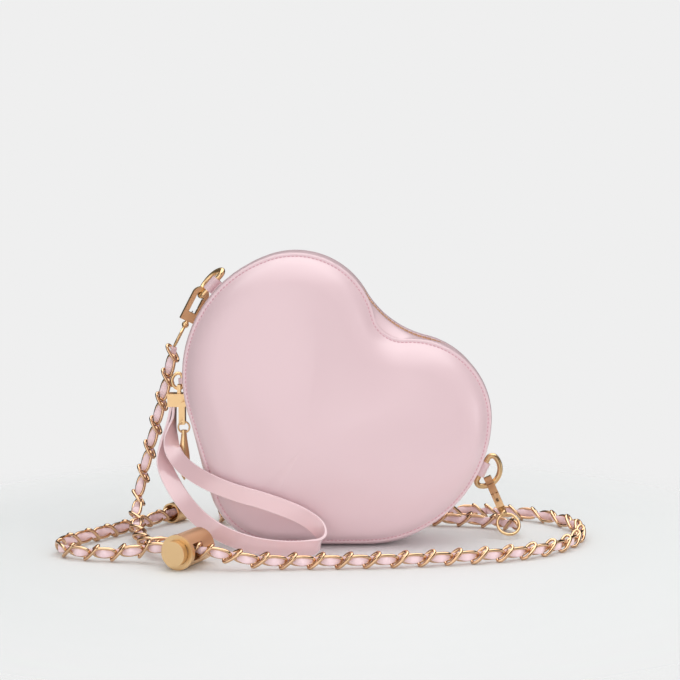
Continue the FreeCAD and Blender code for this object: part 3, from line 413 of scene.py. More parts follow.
def grid_faces(rows: int, columns: int, closed: bool, offset: int = 0) -> List[Face]:
    """Faces between rows of points.

    Args:
        rows: number of rows.
        columns: points in each row.
        closed: whether a row's last point joins its first.
        offset: index of the first point.

    Returns:
        Four-sided faces as point indices.
    """
    faces = []
    for row in range(rows - 1):
        for column in range(columns if closed else columns - 1):
            after = (column + 1) % columns
            low = offset + row * columns
            faces.append((low + column, low + after, low + columns + after, low + columns + column))
    return faces


def tube(
    rings: Sequence[Sequence[Vector]], closed: bool, offset: int,
) -> Tuple[List[Vector], List[Face]]:
    """A skin through closed rings.

    Args:
        rings: the rings in order, with as many points each.
        closed: whether the last ring joins the first; if not, both ends are capped.
        offset: index of the first point.

    Returns:
        Points and faces of the skin.
    """
    count = len(rings[0])
    points = [point for ring in rings for point in ring]
    faces = grid_faces(len(rings), count, True, offset)
    last = offset + (len(rings) - 1) * count
    if closed:
        for index in range(count):
            after = (index + 1) % count
            faces.append((last + index, last + after, offset + after, offset + index))
    else:
        faces.append(tuple(range(offset, offset + count)))
        faces.append(tuple(range(last + count - 1, last - 1, -1)))
    return points, faces


def circle(
    centre: Vector, first: Vector, second: Vector, radius: float, corners: int,
) -> List[Vector]:
    """Points on a circle.

    Args:
        centre: its middle.
        first, second: unit vectors across it.
        radius: its radius.
        corners: number of points.

    Returns:
        The points, from the first direction towards the second.
    """
    turns = [2 * math.pi * step / corners for step in range(corners)]
    return [centre + (first * math.cos(turn) + second * math.sin(turn)) * radius for turn in turns]


class Walk:
    """A polyline that is read by distance along it."""

    def __init__(self, points: Sequence[Vector]) -> None:
        """Measure the line.

        Args:
            points: its corners in order.
        """
        self.points = [Vector(point) for point in points]
        self.marks = [0.0]
        for first, second in zip(self.points[:-1], self.points[1:]):
            self.marks.append(self.marks[-1] + (second - first).length)

    @property
    def length(self) -> float:
        """Length of the whole line."""
        return self.marks[-1]

    def at(self, distance: float) -> Tuple[Vector, Vector]:
        """Look up a place on the line.

        Args:
            distance: how far along it lies.

        Returns:
            The point and the direction there.
        """
        distance = min(max(distance, 0.0), self.length)
        index = 0
        while index < len(self.marks) - 2 and self.marks[index + 1] < distance:
            index += 1
        first, second = self.points[index], self.points[index + 1]
        step = max(self.marks[index + 1] - self.marks[index], 1e-9)
        share = (distance - self.marks[index]) / step
        return first.lerp(second, share), (second - first).normalized()


def add_modifier(made: bpy.types.Object, kind: str, **settings: object) -> None:
    """Add a modifier.

    Args:
        made: the object.
        kind: the modifier's type name.
        settings: its attributes.
    """
    modifier = made.modifiers.new(kind.title(), kind)
    for key, value in settings.items():
        setattr(modifier, key, value)


# Heart


class Span(Enum):
    """Parts of one half of the outline, from the tip to the notch."""

    TIP = "tip"
    FLANK = "flank"
    SIDE = "side"
    LOBE = "lobe"
    NOTCH = "notch"


Station = Tuple[int, Span, float]
Leg = Tuple[int, Span, float, float, int]
SPAN_COUNTS = {Span.TIP: 8, Span.FLANK: 9, Span.SIDE: 18, Span.LOBE: 28, Span.NOTCH: 7}
SEAM_DEPTH = 20 * MM
CROWN_DEPTH = 12 * MM
CROWN_RISE = 2.5 * MM
ZIP_RISE = 1.0 * MM
NOTCH_RISE = -0.3 * MM
ZIP_SINK = 1.0 * MM


class Side(Enum):
    """Which face of the purse a piece belongs to, as the sign of its Y."""

    FRONT = -1
    REAR = 1

    @property
    def body(self) -> str:
        """Name of the CAD body that the face moves with."""
        return "front" if self is Side.FRONT else "bag"

    @property
    def label(self) -> str:
        """Word for the side, as the nodes spell it."""
        return self.name.lower()


def walk_legs(legs: Sequence[Leg]) -> List[Station]:
    """Stations along legs of the outline.

    Args:
        legs: for each, the half (1 right, -1 left), the span, the shares of the span that it
            starts and ends at, and its number of steps.

    Returns:
        The stations in order, with the end of the last leg.
    """
    stations = [
        (half, span, start + (end - start) * step / count)
        for half, span, start, end, count in legs for step in range(count)
    ]
    half, span, _, end, _ = legs[-1]
    return stations + [(half, span, end)]


@dataclass(frozen=True)
class HeartOutline:
    """The seam line of the purse, leaning so that one flank lies level."""

    tip_radius: float = 40 * MM
    flank_length: float = 52 * MM
    side_radius: float = 75 * MM
    lobe_radius: float = 48.5 * MM
    notch_radius: float = 17.5 * MM
    bridge_radius: float = 60 * MM
    flank_angle: float = math.radians(36.6)
    side_end: float = math.radians(125)
    lift: float = 2.5 * MM

    def point(
        self, station: Station, depth: float, outset: float = 0.0, bridge: float = 0.0,
    ) -> Vector:
        """A point beside the seam line.

        Args:
            station: half, span and share of the span.
            depth: place along Y.
            outset: distance outside the line.
            bridge: share by which the notch is bridged, 0 to 1.

        Returns:
            The point in the part's frame.
        """
        half, span, share = station
        turn, end = self.flank_angle, self.side_end
        sine, cosine = math.sin(turn), math.cos(turn)
        notch = self.notch_radius + (self.bridge_radius - self.notch_radius) * bridge
        start = (self.tip_radius * sine, self.tip_radius * (1 - cosine))
        corner = (start[0] + self.flank_length * cosine, start[1] + self.flank_length * sine)
        side = (corner[0] - self.side_radius * sine, corner[1] + self.side_radius * cosine)
        step = self.side_radius - self.lobe_radius
        lobe = (side[0] + step * math.sin(end), side[1] - step * math.cos(end))
        reach = self.lobe_radius + notch
        close = math.pi + math.asin(lobe[0] / reach)
        arcs = {
            Span.TIP: ((0.0, self.tip_radius), self.tip_radius, 0.0, turn),
            Span.SIDE: (side, self.side_radius, turn, end),
            Span.LOBE: (lobe, self.lobe_radius, end, close),
            Span.NOTCH: ((0.0, lobe[1] - reach * math.cos(close)), -notch, close, math.pi),
        }
        if span is Span.FLANK:
            across = start[0] + (corner[0] - start[0]) * share + outset * sine
            along = start[1] + (corner[1] - start[1]) * share - outset * cosine
        else:
            centre, radius, first, last = arcs[span]
            heading = first + (last - first) * share
            across = centre[0] + (radius + outset) * math.sin(heading)
            along = centre[1] - (radius + outset) * math.cos(heading)
        across = half * across - (start[0] + corner[0]) / 2
        along = along - (start[1] + corner[1]) / 2
        return Vector((
            across * cosine + along * sine, depth, along * cosine - across * sine + self.lift,
        ))

    @staticmethod
    def ring() -> List[Station]:
        """Stations all the way round, up the right half and down the left.

        Returns:
            The stations, each place once.
        """
        spans = SPAN_COUNTS.items()
        right, left = (
            walk_legs([(half, span, 0.0, 1.0, count) for span, count in spans]) for half in (1, -1)
        )
        return right + left[-2:0:-1]

    def row(self, side: Side, inset: float, height: float) -> List[Vector]:
        """A ring of points beside a face's seam.

        Args:
            side: the face.
            inset: distance inside the seam line.
            height: distance out from the seam's depth.

        Returns:
            The points, one for each station.
        """
        depth = side.value * (SEAM_DEPTH + height)
        return [self.point(spot, depth, -inset) for spot in self.ring()]


OUTLINE = HeartOutline()
# The zip ends 8 mm short of the left flank's upper end, and at 75 degrees of the right side's arc
ZIP_FLANK_SHARE = 1 - 8 * MM / OUTLINE.flank_length
ZIP_SIDE_SHARE = (
    (math.radians(75) - OUTLINE.flank_angle) / (OUTLINE.side_end - OUTLINE.flank_angle)
)
CLOTH_SETTINGS = {
    "quality": 6, "mass": 0.3, "tension_stiffness": 12.0, "compression_stiffness": 12.0,
    "shear_stiffness": 6.0, "bending_stiffness": 2.0, "use_pressure": True,
}


@dataclass
class PuffedPanel:
    """One face of the purse: a flat flange and a leather puff blown up by cloth simulation."""

    side: Side
    flange: Sequence[Tuple[float, float]] = (
        (0.0, 0.0), (0.0, 0.6), (0.25, 1.05), (0.8, 1.4), (1.4, 1.6), (1.9, 1.55), (2.3, 1.8),
    )
    puff: Sequence[Tuple[float, float]] = (
        (2.9, 2.7), (3.9, 4.4), (5.3, 6.5), (7.6, 9.2), (10.6, 11.9), (14.2, 14.3), (18.3, 16.1),
        (23.0, 17.4), (27.5, 18.1), (31.8, 18.6),
    )
    inner_rows: int = 9
    inner_rise: float = 2.5
    pressure: float = 4.0
    frames: int = 20
    movement_cap: float = 3 * MM
    smoothing: Sequence[Tuple[int, int]] = ((4, 25), (7, 90))
    hub_share: float = 0.45
    leather: float = 1.4 * MM

    def rows(self) -> List[List[Vector]]:
        """Lay the leather out as rings.

        Returns:
            The rings of points, from the seam in to near the middle.
        """
        profile = [*self.flange, *self.puff]
        rows = [OUTLINE.row(self.side, inset * MM, height * MM) for inset, height in profile]
        edge = rows[-1]
        middle = self.hub(edge[0].y)
        for step in range(1, self.inner_rows + 1):
            share = step / (self.inner_rows + 1)
            rise = self.inner_rise * MM * (1 - (1 - share) ** 2)
            lift = Vector((0, self.side.value * rise, 0))
            rows.append([point.lerp(middle, share) + lift for point in edge])
        return rows

    def hub(self, depth: float) -> Vector:
        """The point between tip and notch from which the whole face can be seen."""
        tip = OUTLINE.point((1, Span.TIP, 0.0), depth)
        return tip.lerp(OUTLINE.point((1, Span.NOTCH, 1.0), depth), self.hub_share)

    def build(self) -> bpy.types.Object:
        """Make the leather, blow it up, and give it its thickness.

        Returns:
            The panel.
        """
        rows = self.rows()
        count = len(rows[0])
        points = [point for row in rows for point in row]
        faces = grid_faces(len(rows), count, True)
        sign = self.side.value
        front = len(points)
        points.append(self.hub(rows[-1][0].y))
        back = len(points)
        points.append(Vector((points[front].x, sign * SEAM_DEPTH, points[front].z)))
        last = count * (len(rows) - 1)
        for index in range(count):
            after = (index + 1) % count
            faces.append((last + index, last + after, front))
            faces.append((after, index, back))
        made = piece("%s_leather_panel" % self.side.label, points, faces, LEATHER)
        self.inflate(made, count * len(self.flange), back)
        work = bmesh.new()
        work.from_mesh(made.data)
        work.verts.ensure_lookup_table()
        for row, passes in self.smoothing:
            loose = work.verts[count * (len(self.flange) + row):front + 1]
            for _ in range(passes):
                bmesh.ops.smooth_vert(work, verts=loose, factor=0.5, use_axis_y=True)
        bmesh.ops.delete(work, geom=[work.verts[back]], context="VERTS")
        work.to_mesh(made.data)
        work.free()
        add_modifier(made, "SUBSURF", levels=1, render_levels=1)
        add_modifier(made, "SOLIDIFY", thickness=self.leather, offset=-1.0)
        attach(made, self.side.body)
        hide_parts("%s_panel" % self.side.label, "%s_padding" % self.side.label)
        return made

    def inflate(self, made: bpy.types.Object, fixed: int, back: int) -> None:
        """Blow the puff up with cloth pressure while the flange stays put.

        Args:
            made: the panel, as a closed mesh.
            fixed: how many of the first points are held.
            back: index of the point that closes the back.
        """
        start = [vertex.co.copy() for vertex in made.data.vertices]
        group = made.vertex_groups.new(name="held")
        group.add(list(range(fixed)) + [back], 1.0, "REPLACE")
        cloth = made.modifiers.new("Cloth", "CLOTH")
        for key, value in CLOTH_SETTINGS.items():
            setattr(cloth.settings, key, value)
        cloth.settings.uniform_pressure_force = self.pressure
        cloth.settings.effector_weights.gravity = 0.0
        cloth.settings.vertex_group_mass = group.name
        cloth.collision_settings.use_collision = False
        scene = bpy.context.scene
        for frame in range(1, self.frames + 1):
            scene.frame_set(frame)
        shown = made.evaluated_get(bpy.context.evaluated_depsgraph_get())
        blown = [vertex.co.copy() for vertex in shown.data.vertices]
        scene.frame_set(1)
        made.modifiers.remove(cloth)
        furthest = max((after - before).length for before, after in zip(start, blown))
        share = min(1.0, self.movement_cap / max(furthest, MM))
        for vertex, before, after in zip(made.data.vertices, start, blown):
            vertex.co = before.lerp(after, share)
        LOG.info("%s puffed by up to %.1f mm, scaled by %.2f", made.name, furthest / MM, share)


@dataclass
class Stitching:
    """A row of stitches round a panel's flange."""

    side: Side
    inset: float = 2.0 * MM
    rise: float = 1.55 * MM
    pitch: float = 2.4 * MM
    length: float = 1.7 * MM
    radius: float = 0.36 * MM
    corners: int = 6
    swells: Sequence[Tuple[float, float]] = ((-0.5, 0.35), (-0.3, 1.0), (0.3, 1.0), (0.5, 0.35))

    def build(self) -> bpy.types.Object:
        """Lay short threads along the groove.

        Returns:
            One piece with all the stitches.
        """
        line = OUTLINE.row(self.side, self.inset, self.rise)
        walk = Walk(line + line[:1])
        count = round(walk.length / self.pitch)
        points: List[Vector] = []
        faces: List[Face] = []
        out = Vector((0, self.side.value, 0))
        for index in range(count):
            middle, along = walk.at(walk.length * (index + 0.5) / count)
            across = along.cross(out)
            rings = []
            for share, swell in self.swells:
                centre = middle + along * (share * self.length)
                rings.append(circle(centre, across, out, self.radius * swell, self.corners))
            more, skin = tube(rings, False, len(points))
            points += more
            faces += skin
        made = piece("%s_panel_stitching" % self.side.label, points, faces, THREAD)
        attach(made, self.side.body)
        return made


@dataclass
class Lining:
    """The cloth inside one face."""

    side: Side
    profile: Sequence[Tuple[float, float]] = (
        (2.2, -0.6), (4.0, 0.4), (7.0, 3.4), (11.0, 6.6), (16.0, 9.2), (22.0, 11.2), (31.8, 12.6),
    )

    def build(self) -> bpy.types.Object:
        """Make the dish.

        Returns:
            The lining.
        """
        rows = [OUTLINE.row(self.side, inset * MM, height * MM) for inset, height in self.profile]
        count = len(rows[0])
        points = [point for row in rows for point in row]
        faces = grid_faces(len(rows), count, True)
        last = count * (len(rows) - 1)
        points.append(sum(rows[-1], Vector()) / count)
        for index in range(count):
            faces.append((last + index, last + (index + 1) % count, len(points) - 1))
        made = piece("%s_lining_cloth" % self.side.label, points, faces, LINING)
        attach(made, self.side.body)
        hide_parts("%s_lining" % self.side.label)
        return made


@dataclass
class Gusset:
    """The band between the faces: a lower part round the tip, and a strip each side of the zip."""

    leather: float = 1.4 * MM
    mouth: float = 5.5 * MM
    lip: float = 1.5 * MM
    crown_curve: float = 1.6
    ease_steps: int = 5
    notch_approach: float = 0.86
    seam_steps: Sequence[float] = (0.0, 0.8, 2.4, 4.5, 6.5)
    crown_step: float = 3 * MM
    middle_step: float = 4 * MM
    edge_bevel: float = 0.35 * MM
    hub: Triple = (0.0, 0.0, 80 * MM)
    lower_legs: Sequence[Leg] = (
        (1, Span.SIDE, ZIP_SIDE_SHARE, 0.0, 9), (1, Span.FLANK, 1.0, 0.0, 9),
        (1, Span.TIP, 1.0, 0.0, 8), (-1, Span.TIP, 0.0, 1.0, 8),
        (-1, Span.FLANK, 0.0, ZIP_FLANK_SHARE, 8),
    )
    upper_legs: Sequence[Leg] = (
        (-1, Span.FLANK, ZIP_FLANK_SHARE, 1.0, 3), (-1, Span.SIDE, 0.0, 1.0, 20),
        (-1, Span.LOBE, 0.0, 1.0, 28), (-1, Span.NOTCH, 0.0, 1.0, 10),
        (1, Span.NOTCH, 1.0, 0.0, 10), (1, Span.LOBE, 1.0, 0.0, 28),
        (1, Span.SIDE, 1.0, ZIP_SIDE_SHARE, 14),
    )

    def section(self, depth: float, rise: float, sink: float) -> Tuple[float, float]:
        """The band's form at a depth.

        Args:
            depth: place across the band.
            rise: height of the crown.
            sink: how far the middle dips below it.

        Returns:
            The outset from the seam line and the share by which the notch is bridged.
        """
        share = max(0.0, (abs(depth) - CROWN_DEPTH) / (SEAM_DEPTH - CROWN_DEPTH))
        dip = sink * max(0.0, 1 - abs(depth) / CROWN_DEPTH)
        return rise * (1 - share ** self.crown_curve) - dip, 1 - share

    def lower_rise(self, step: int, last: int) -> float:
        """Crown of the lower band, easing to the strips' crown at its two ends."""
        share = min(1.0, min(step, last - step) / self.ease_steps)
        return ZIP_RISE + (CROWN_RISE - ZIP_RISE) * share

    def strip_form(self, spot: Station, side: Side) -> Tuple[float, float]:
        """A zip strip's form; the front one lies low where the notch shows teeth.

        Args:
            spot: place along the seam.
            side: the face that the strip belongs to.

        Returns:
            Height of the crown, and how far the middle dips below it.
        """
        _, span, share = spot
        start = self.notch_approach
        approach = max(0.0, (share - start) / (1 - start))
        near = {Span.NOTCH: 1.0, Span.LOBE: approach}.get(span, 0.0)
        if side is Side.REAR:
            near = 0.0
        return ZIP_RISE + (NOTCH_RISE - ZIP_RISE) * near, ZIP_SINK * (1 - near)

    def band(
        self, name: str, stations: Sequence[Station], depths: Sequence[float],
        forms: Sequence[Tuple[float, float]],
    ) -> bpy.types.Object:
        """A leather band along stations, across depths.

        Args:
            name: the band's name.
            stations: places along the seam.
            depths: places across the band.
            forms: height of the crown, and how far the middle dips below it, at each station.

        Returns:
            The band.
        """
        points = []
        for spot, (rise, sink) in zip(stations, forms):
            for depth in depths:
                outset, bridge = self.section(depth, rise, sink)
                points.append(OUTLINE.point(spot, depth, outset, bridge))
        faces = grid_faces(len(stations), len(depths), False)
        made = piece(name, points, faces, LEATHER)
        probe = made.data.polygons[len(made.data.polygons) // 2]
        flat = Vector((1, 0, 1))
        if probe.normal.dot((probe.center - Vector(self.hub)) * flat) < 0:
            made.data.flip_normals()
        add_modifier(made, "SOLIDIFY", thickness=self.leather, offset=-1.0)
        add_modifier(
            made, "BEVEL", width=self.edge_bevel, segments=2, limit_method="ANGLE",
            angle_limit=math.radians(50),
        )
        return made

    def build(self) -> None:
        """Make the three bands; the zip strips move with their faces and the lower one stays put.
        """
        half = [SEAM_DEPTH - step * MM for step in self.seam_steps]
        half += [CROWN_DEPTH, CROWN_DEPTH - self.crown_step]
        whole = [-depth for depth in half] + [-self.middle_step, self.middle_step] + half[::-1]
        below, above = walk_legs(self.lower_legs), walk_legs(self.upper_legs)
        forms = [(self.lower_rise(step, len(below) - 1), 0.0) for step in range(len(below))]
        lower = self.band("lower_gusset_leather", below, whole, forms)
        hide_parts("lower_gusset")
        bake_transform(lower)
        for side in Side:
            depths = [side.value * depth for depth in half + [self.mouth + self.lip, self.mouth]]
            forms = [self.strip_form(spot, side) for spot in above]
            strip = self.band("%s_zip_leather" % side.label, above, depths, forms)
            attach(strip, side.body)
            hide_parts("%s_zip_strip" % side.label)


# Chain strap


@dataclass(frozen=True)
class LinkForm:
    """One oval wire link, with its own tilt along and roll about the chain."""

    length: float
    width: float
    wire: float
    tilt: float
    roll: float
    squareness: float = 2.5
    spots: int = 22
    corners: int = 8

    def rings(self) -> List[List[Vector]]:
        """Lay out the link in its own frame: X along the chain, Y out, Z up.

        Returns:
            Sections of the wire, once round the link.
        """
        long, wide = (self.length - self.wire) / 2, (self.width - self.wire) / 2
        power = self.squareness
        centre = []
        for step in range(self.spots):
            turn = 2 * math.pi * step / self.spots
            cosine, sine = math.cos(turn), math.sin(turn)
            swell = (abs(cosine) ** power + abs(sine) ** power) ** (-1 / power)
            centre.append(Vector((long * cosine * swell, 0.0, wide * sine * swell)))
        pose = Matrix.Rotation(-self.tilt, 3, "Y") @ Matrix.Rotation(self.roll, 3, "X")
        rings = []
        normal = Vector((0, 1, 0))
        for step, spot in enumerate(centre):
            along = (centre[(step + 1) % self.spots] - centre[step - 1]).normalized()
            across = along.cross(normal)
            ring = circle(spot, across, normal, self.wire / 2, self.corners)
            rings.append([pose @ point for point in ring])
        return rings


STANDING = LinkForm(13.6 * MM, 6.8 * MM, 2.0 * MM, math.radians(42), math.radians(68))
FACING = LinkForm(15.4 * MM, 8.2 * MM, 1.9 * MM, 0.0, math.radians(-30))
LINK_PITCH = 7.9 * MM
RIBBON_SECTION = ((0.8, 1.0), (1.0, 0.0), (0.8, -1.0), (-0.8, -1.0), (-1.0, 0.0), (-0.8, 1.0))
Carried = Tuple[Vector, Vector, Vector, Vector]


class Lay(Enum):
    LOOSE = "loose"
    HANGING = "hanging"


@dataclass
class ChainStretch:
    """A stretch of the strap: links along a spline, and the ribbon laced through them."""

    name: str
    route: Sequence[Triple]
    up: Triple = (0.0, 0.0, 1.0)
    roll: float = 0.0
    lay: Lay = Lay.LOOSE
    lift: float = 0.5 * MM
    end_margin: float = 0.5
    ribbon_width: float = 5.2 * MM
    ribbon_thickness: float = 0.9 * MM
    ribbon_sway: float = 1.5 * MM
    ribbon_narrowing: float = 0.14
    ribbon_steps: int = 6

    def path(self) -> List[Vector]:
        """Lay a spline that the route steers.

        Returns:
            Points along it.
        """
        curve = bpy.data.curves.new("%s_line" % self.name, "CURVE")
        curve.dimensions = "3D"
        spline = curve.splines.new("NURBS")
        spline.points.add(len(self.route) - 1)
        for control, spot in zip(spline.points, self.route):
            control.co = (spot[0] * MM, spot[1] * MM, spot[2] * MM, 1.0)
        spline.order_u = 3
        spline.use_endpoint_u = True
        spline.resolution_u = 10
        holder = bpy.data.objects.new("%s_line" % self.name, curve)
        mesh = bpy.data.meshes.new_from_object(holder)
        points = [vertex.co.copy() for vertex in mesh.vertices]
        bpy.data.meshes.remove(mesh)
        bpy.data.objects.remove(holder)
        bpy.data.curves.remove(curve)
        return points

    def frames(self, walk: Walk, spots: Sequence[float]) -> List[Carried]:
        """Frames carried along the line without needless twist.

        Args:
            walk: the line.
            spots: distances along it.

        Returns:
            Place, direction, up and side at each distance.
        """
        frames = []
        up = Vector(self.up)
        for distance in spots:
            place, along = walk.at(distance)
            up = (up - along * along.dot(up)).normalized()
            turned = Matrix.Rotation(self.roll, 3, along) @ up
            frames.append((place, along, turned, along.cross(turned)))
        return frames

    def build(self) -> None:
        path = self.path()
        walk = Walk(path)
        count = round(walk.length / LINK_PITCH)
        pitch = walk.length / count
        first, last = pitch / 2, walk.length - pitch * self.end_margin
        spots = [first + (last - first) * index / (count - 1) for index in range(count)]
        points: List[Vector] = []
        faces: List[Face] = []
        lift = Vector((0, 0, self.lift))
        forms = [STANDING.rings(), FACING.rings()]
        for index, (place, along, up, side) in enumerate(self.frames(walk, spots)):
            turn = Matrix((along, side, up)).transposed()
            rings = [[place + lift + turn @ spot for spot in ring] for ring in forms[index % 2]]
            more, skin = tube(rings, True, len(points))
            points += more
            faces += skin
        links = piece("%s_links" % self.name, points, faces, CHAIN_GOLD)
        ribbon = self.ribbon(walk, pitch)
        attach(links, "bag")
        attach(ribbon, "bag")
        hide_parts(self.name)
        LOG.info("%s: %d links on %.0f mm", self.name, count, walk.length / MM)

    def ribbon(self, walk: Walk, pitch: float) -> bpy.types.Object:
        """The leather ribbon, bowing out of every second link.

        Args:
            walk: the line that it follows.
            pitch: distance between links.

        Returns:
            The ribbon.
        """
        length = walk.length - pitch * (self.end_margin - 0.5)
        steps = round(length / pitch * self.ribbon_steps)
        spots = [length * step / steps for step in range(steps + 1)]
        rings = []
        for distance, (place, along, up, side) in zip(spots, self.frames(walk, spots)):
            wave = math.cos(math.pi * (distance / pitch - 1.5))
            place = place + Vector((0, 0, self.lift)) + side * (self.ribbon_sway * wave)
            wide = up * (self.ribbon_width / 2 * (1 - self.ribbon_narrowing * (1 - wave)))
            thick = side * (self.ribbon_thickness / 2)
            rings.append([place + wide * a + thick * b for a, b in RIBBON_SECTION])
        points, faces = tube(rings, False, 0)
        return piece("%s_ribbon" % self.name, points, faces, RIBBON_LEATHER)


CHAIN_END_LEFT = (-92.28, 23.03, 116.14)
LOCK_ANCHOR = ((-89.84, -54.76, 10.0), (-81.62, -58.42, 10.0))
LOCK_INLET = (-76.84, -72.04, 10.0)
LOCK_OUTLET = (-67.80, -76.06, 10.0)
LOCK_TURN = (-59.58, -79.72, 10.0)
CAP_POCKET = (-92.13, 60.58, 6.5)
RUN_JOIN = (106.5, 65.8, 4.5)
CHAIN_END_RIGHT = ((120.13, 12.88, 5.87), (120.83, 8.07, 9.38))
LEFT_FALL_ROUTE = [
    (-95.6, 23.6, 98.6), (-99.4, 24.6, 85.0), (-103.2, 25.6, 70.4), (-107.0, 26.0, 55.6),
    (-111.0, 25.4, 41.0), (-114.0, 22.6, 27.6), (-115.2, 15.4, 16.8), (-114.2, 3.6, 10.4),
    (-111.2, -9.6, 7.0), (-107.6, -22.4, 5.8), (-104.0, -33.9, 6.0), (-100.6, -42.4, 7.2),
    (-95.8, -49.4, 9.0),
]
TAIL_ROUTE = [
    (-101.2, 45.0, 6.0), (-110.4, 32.4, 5.0), (-119.6, 19.0, 4.5), (-128.6, 5.6, 4.5),
    (-138.2, -7.4, 4.5), (-147.0, -19.8, 4.5), (-153.6, -31.6, 4.5), (-152.6, -44.0, 4.5),
    (-143.6, -52.4, 4.5), (-131.2, -57.4, 4.5), (-117.6, -59.8, 4.9), (-104.4, -60.6, 6.8),
    (-93.4, -64.6, 9.4),
]
FRONT_ROUTE = [
    (-48.8, -81.0, 7.8), (-36.0, -80.4, 5.4), (-18.0, -78.2, 4.5), (4.0, -77.4, 4.5),
    (26.0, -76.0, 4.5), (48.0, -73.4, 4.5), (67.0, -69.6, 4.5), (84.0, -65.8, 4.5),
    (100.0, -61.2, 4.5), (115.0, -55.2, 4.5), (128.6, -47.2, 4.5), (140.2, -37.0, 4.5),
    (149.6, -24.4, 4.5), (156.4, -9.6, 4.5), (159.6, 6.0, 4.5), (158.0, 21.4, 4.5),
    (152.6, 35.4, 4.5), (144.2, 47.6, 4.5), (133.4, 57.2, 4.5), (119.0, 64.0, 4.5),
]
BACK_ROUTE = [
    (94.0, 67.6, 4.5), (72.0, 69.0, 4.5), (50.0, 70.0, 4.5), (28.0, 70.4, 4.5),
    (6.0, 70.6, 4.5), (-16.0, 71.8, 4.5), (-37.0, 73.4, 4.5), (-55.2, 73.6, 4.5),
    (-63.6, 67.5, 4.5), (-66.8, 57.6, 4.5), (-63.6, 47.7, 4.5), (-55.2, 41.6, 4.5),
    (-38.0, 41.9, 4.5), (-18.0, 42.6, 4.5), (3.0, 42.4, 4.5), (24.0, 42.6, 4.5),
    (44.0, 42.4, 4.5), (63.0, 42.0, 4.5), (81.0, 40.6, 4.5), (97.0, 37.4, 4.5),
    (110.4, 31.4, 4.5), (118.4, 23.6, 4.6),
]
STRETCHES = (
    ChainStretch(
        "chain_left_fall", [CHAIN_END_LEFT] + LEFT_FALL_ROUTE + list(LOCK_ANCHOR),
        up=(1.0, 0.0, 0.0), roll=math.radians(10), lay=Lay.HANGING, end_margin=0.95,
    ),
    ChainStretch("chain_tail", [CAP_POCKET] + TAIL_ROUTE + [LOCK_INLET, LOCK_OUTLET]),
    ChainStretch("chain_front_run", [LOCK_OUTLET, LOCK_TURN] + FRONT_ROUTE + [RUN_JOIN]),
    ChainStretch("chain_back_run", [RUN_JOIN] + BACK_ROUTE + list(CHAIN_END_RIGHT), end_margin=1.2),
)


# Wristlet strap


STRAP_SECTION = (
    (1.0, 0.35), (0.93, 1.0), (0.31, 1.0), (-0.31, 1.0), (-0.93, 1.0), (-1.0, 0.35),
    (-1.0, -0.35), (-0.93, -1.0), (-0.31, -1.0), (0.31, -1.0), (0.93, -1.0), (1.0, -0.35),
)
STRAP_EDGES = (0, 4, 5, 6, 10, 11)


